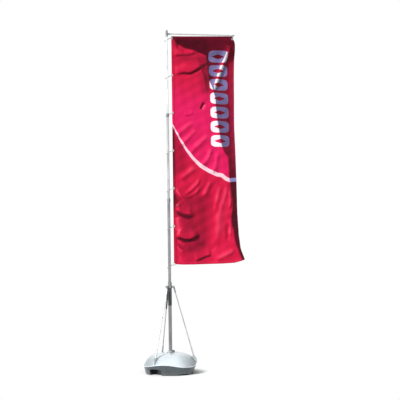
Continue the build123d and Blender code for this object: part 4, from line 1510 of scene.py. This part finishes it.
@dataclass
class Hardware:
    """Screws, rivets, washers, seals and trim that the solids leave out."""

    materials: dict[str, Material]
    base_turn: float = -17.6
    stays: int = 3

    def add(self, piece: Piece, body: str, finish: Finish, slot: str = "stay_metal") -> None:
        """Dresses a piece and lets it ride.

        Args:
            piece: the piece.
            body: the body that it rides on.
            finish: its finish.
            slot: the record's slot; not used.
        """
        piece.data.materials.append(self.materials[finish.value])
        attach(piece, body)
        LOG.info("%s: %d faces on %s", piece.name, len(piece.data.polygons), body)

    def stay_angles(self) -> list[float]:
        """Returns the directions of the stays."""
        return [self.base_turn + 360.0 / self.stays * i for i in range(self.stays)]

    def gap_places(self, radius: float, height: float, toward: Vector | None = None) -> list[Matrix]:
        """Returns places midway between the stays, facing outwards or towards a direction."""
        turns = [angle + 180.0 / self.stays for angle in self.stay_angles()]
        return [standing(around(turn, radius, height), toward or around(turn, 1.0, 0.0)) for turn in turns]


@dataclass
class MastHead(Hardware):
    """The slim turning hub with its boss and screws, and the finial."""

    hub_r: float = 0.0175
    chamfer: float = 0.003
    groove: float = 0.0015
    groove_z: float = 0.020
    groove_half: float = 0.002
    axis_r: float = 0.0001
    bore_r: float = 0.0094
    bore_depth: float = 0.047
    boss: Line = ((0.0120, 0.008), (0.0120, 0.030), (0.0110, 0.032), (0.0120, 0.034))
    boss_chamfer: float = 0.002
    finial_r: float = 0.0165
    finial: Line = (
        (0.72, 0.0), (0.72, 0.20), (1.0, 0.36), (1.0, 0.46), (0.94, 0.62), (0.78, 0.78), (0.52, 0.91),
        (0.20, 0.985), (0.02, 1.0),
    )
    screw_z: float = 0.012
    screw_turns: tuple[float, ...] = (-90.0, 90.0, 180.0)
    boss_screw: float = 0.040

    def hub(self, floor: float, crown: float) -> Turned:
        """Shapes the hub: its bore, its foot, its groove and its crown.

        Args:
            floor: the height of its foot.
            crown: the height of its top.

        Returns:
            The turned hub.
        """
        r, c, bore, deep = self.hub_r, self.chamfer, self.bore_r, floor + self.bore_depth
        middle, half = floor + self.groove_z, self.groove_half
        form = ((self.axis_r, deep), (bore, deep), (bore, floor), (r - c, floor), (r, floor + c),
                (r, middle - half), (r - self.groove, middle), (r, middle + half), (r, crown - c),
                (r - c, crown))
        return Turned(form, sides=40)

    def build(self) -> None:
        """Builds the head's pieces over their solids."""
        floor, (reach, _, crown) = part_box("swivel_hub")[0][2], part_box("swivel_hub")[1]
        arm = 0.5 * sum(corner[2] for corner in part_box("arm_tube"))
        hub = self.hub(floor, crown).put("hub_body", [Matrix.Identity(4)])
        boss_r, top = self.boss[0][0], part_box("finial")[1][2] - crown
        end = ((boss_r, reach - self.boss_chamfer), (boss_r - self.boss_chamfer, reach))
        lying = standing(Vector((0.0, 0.0, arm)), Vector((1.0, 0.0, 0.0)))
        boss = Turned(self.boss + end, sides=32).put("hub_boss", [lying])
        form = tuple((self.finial_r * wide, top * tall) for wide, tall in self.finial)
        cap = Turned(form, sides=40).put("finial_cap", [Matrix.Translation(Vector((0.0, 0.0, crown)))])
        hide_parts("swivel_hub")
        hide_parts("finial")
        self.add(hub, "flag_head", Finish.HUB, "dark_plastic")
        self.add(boss, "flag_head", Finish.HUB, "dark_plastic")
        self.add(cap, "flag_head", Finish.HUB, "cap_plastic")
        places = [standing(around(turn, self.hub_r, floor + self.screw_z), around(turn, 1.0, 0.0))
                  for turn in self.screw_turns]
        places.append(standing(Vector((self.boss_screw, 0.0, arm + boss_r)), UP))
        self.add(GRUB_SCREW.put("hub_screws", places), "flag_head", Finish.STEEL)


@dataclass
class RingClips(Hardware):
    """Rivets through the clips that hold the flag's edge."""

    cheek: float = 0.0031
    inset: float = 0.010
    drops: Span = (0.008, 0.022)
    rings: int = 7

    def build(self) -> None:
        """Builds two pairs of rivets for each ring."""
        for i in range(1, self.rings + 1):
            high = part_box(f"flag_ring_{i}")[1]
            places = [standing(Vector((high[0] - self.inset, side * self.cheek, high[2] - drop)),
                               Vector((0.0, side, 0.0)))
                      for side in (-1.0, 1.0) for drop in self.drops]
            body = "flag_head" if i == 1 else f"ring_{i}"
            self.add(RIVET.put(f"clip_rivets_{i}", places), body, Finish.STEEL)


@dataclass
class MastLocks(Hardware):
    """Rubber wipers above the locks."""

    seats: tuple[float, ...] = (1.306, 2.520, 3.765)
    radii: tuple[float, ...] = (0.0210, 0.0175, 0.0140)
    bodies: tuple[str, ...] = ("base", "mast_2", "mast_3")
    wiper: Line = ((0.0005, 0.0), (0.0030, 0.0), (0.0034, 0.0010), (0.0024, 0.0028), (0.0005, 0.0034))

    def build(self) -> None:
        """Builds the wipers."""
        for i, (seat, radius, body) in enumerate(zip(self.seats, self.radii, self.bodies), 1):
            form = tuple((radius + out, rise) for out, rise in self.wiper)
            wiper = Turned(form, sides=36, ends=Ends.BORED).put(f"wiper_{i}", [Matrix.Translation(seat * UP)])
            self.add(wiper, body, Finish.RUBBER, "dark_plastic")


@dataclass
class StayFittings(Hardware):
    """Knob inserts, the collar's bolts and its long sleeve, and the anchors' washers and split rings."""

    head_z: float = 1.241
    head_r: float = 0.058
    knob_face: float = 0.0254
    collar_r: float = 0.033
    sleeve_r: float = 0.0285
    sleeve_bore: float = 0.0252
    sleeve_top: float = 1.2205
    sleeve_low: float = 0.9705
    sleeve_chamfer: float = 0.001
    groove: float = 0.0012
    groove_drop: float = 0.010
    groove_half: float = 0.002
    pin_r: float = 0.346
    pin_z: float = 0.0131
    cheek: float = 0.0114
    loop_gap: float = 0.0024
    loop_r: float = 0.0085
    loop_wire: float = 0.0008
    loop_turn: Span = (63.0, 378.0)
    loop_steps: int = 24

    def knobs(self) -> None:
        """Puts a steel insert in each star knob."""
        places = []
        for angle in self.stay_angles():
            across = around(angle - 90.0, 1.0, 0.0)
            places.append(standing(around(angle, self.head_r, self.head_z) + self.knob_face * across, across))
        self.add(INSERT.put("knob_inserts", places), "base", Finish.STEEL)

    def collar(self) -> None:
        """Adds the clamp bolts of the stay collar and the sleeve below it."""
        self.add(BOLT.put("collar_bolts", self.gap_places(self.collar_r, self.head_z)), "base", Finish.STEEL)
        r, c, bore = self.sleeve_r, self.sleeve_chamfer, self.sleeve_bore
        low, top = self.sleeve_low, self.sleeve_top
        middle, half = top - self.groove_drop, self.groove_half
        form = ((bore, low), (r - c, low), (r, low + c), (r, middle - half), (r - self.groove, middle),
                (r, middle + half), (r, top), (bore, top))
        sleeve = Turned(form, sides=40, ends=Ends.BORED).put("mast_sleeve", [Matrix.Identity(4)])
        self.add(sleeve, "base", Finish.DARK, "dark_plastic")

    def anchors(self) -> None:
        """Adds washers and split rings on the anchors' pins."""
        washers, loops = [], []
        for i, angle in enumerate(self.stay_angles(), 1):
            pin = around(angle, self.pin_r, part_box(f"stay_foot_{i}")[0][2] + self.pin_z)
            out, across = around(angle, 1.0, 0.0), around(angle - 90.0, 1.0, 0.0)
            washers += [standing(pin + side * self.cheek * across, side * across) for side in (1.0, -1.0)]
            middle = pin + (self.cheek + self.loop_gap) * across - self.loop_r * UP
            turns = np.radians(np.linspace(*self.loop_turn, self.loop_steps))
            loops.append([middle + self.loop_r * (math.cos(t) * out + math.sin(t) * UP) for t in turns])
        self.add(WASHER.put("pin_washers", washers), "base", Finish.STEEL)
        self.add(wire("split_rings", loops, self.loop_wire), "base", Finish.STEEL)

    def build(self) -> None:
        """Builds the stays' small parts."""
        self.knobs()
        self.collar()
        self.anchors()


@dataclass
class TankTrim(Hardware):
    """The rim's bead, the flange's screws and the filler's grip."""

    flange_r: float = 0.045
    flange_face: float = 0.008
    bead: float = 0.0045
    bead_sink: float = 0.0010
    bead_steps: int = 144
    even_steps: int = 9
    look_from: float = 0.60
    look_span: Span = (0.112, 0.190)
    looks: int = 40

    def rim(self, tank: Piece) -> None:
        """Runs a moulded bead round the tank where the dome meets the wall.

        Args:
            tank: the tank's packed object, which is only read.
        """
        path = []
        for step in range(self.bead_steps):
            angle = 360.0 * step / self.bead_steps
            inward = -around(angle, 1.0, 0.0)
            best = Vector((0.0, 0.0, 0.0))
            for z in np.linspace(*self.look_span, self.looks):
                found, spot, _, _ = tank.ray_cast(around(angle, self.look_from, float(z)), inward)
                if found and spot.xy.length > best.xy.length:
                    best = spot
            path.append(best + self.bead_sink * inward)
        heights = np.pad([spot.z for spot in path], self.even_steps // 2, mode="wrap")
        even = np.convolve(heights, np.ones(self.even_steps) / self.even_steps, mode="valid")
        for spot, height in zip(path, even):
            spot.z = float(height)
        # The bead is real; its pale finish is a painted highlight along the rim.
        self.add(wire("rim_bead", [path], self.bead, closed=True), "base", Finish.LIP, "tank_plastic")

    def build(self, tank: Piece) -> None:
        """Builds the tank's small parts.

        Args:
            tank: the tank's packed object.
        """
        self.rim(tank)
        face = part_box("socket_collar")[0][2] + self.flange_face
        places = self.gap_places(self.flange_r, face, UP)
        self.add(FLANGE_SCREW.put("flange_screws", places), "base", Finish.STEEL)
        low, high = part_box("filler_cap")
        middle = Vector((0.5 * (low[0] + high[0]), 0.5 * (low[1] + high[1]), high[2]))
        self.add(GRIP.put("filler_grip", [Matrix.Translation(middle)]), "base", Finish.DARK, "dark_plastic")


def main() -> None:
    """Loads the frame and builds everything around it, in order."""
    logging.basicConfig(level=logging.INFO, format="%(message)s")
    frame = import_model()
    Studio().build()
    materials = {finish.name: finish.build() for finish in FINISHES}
    dress_nodes(frame, materials)
    MastHead(materials).build()
    RingClips(materials).build()
    MastLocks(materials).build()
    StayFittings(materials).build()
    TankTrim(materials).build(frame["nodes"]["ballast_tank"])
    Flag().build(SatinCloth("flag_satin").build())


if __name__ == "__main__":
    main()
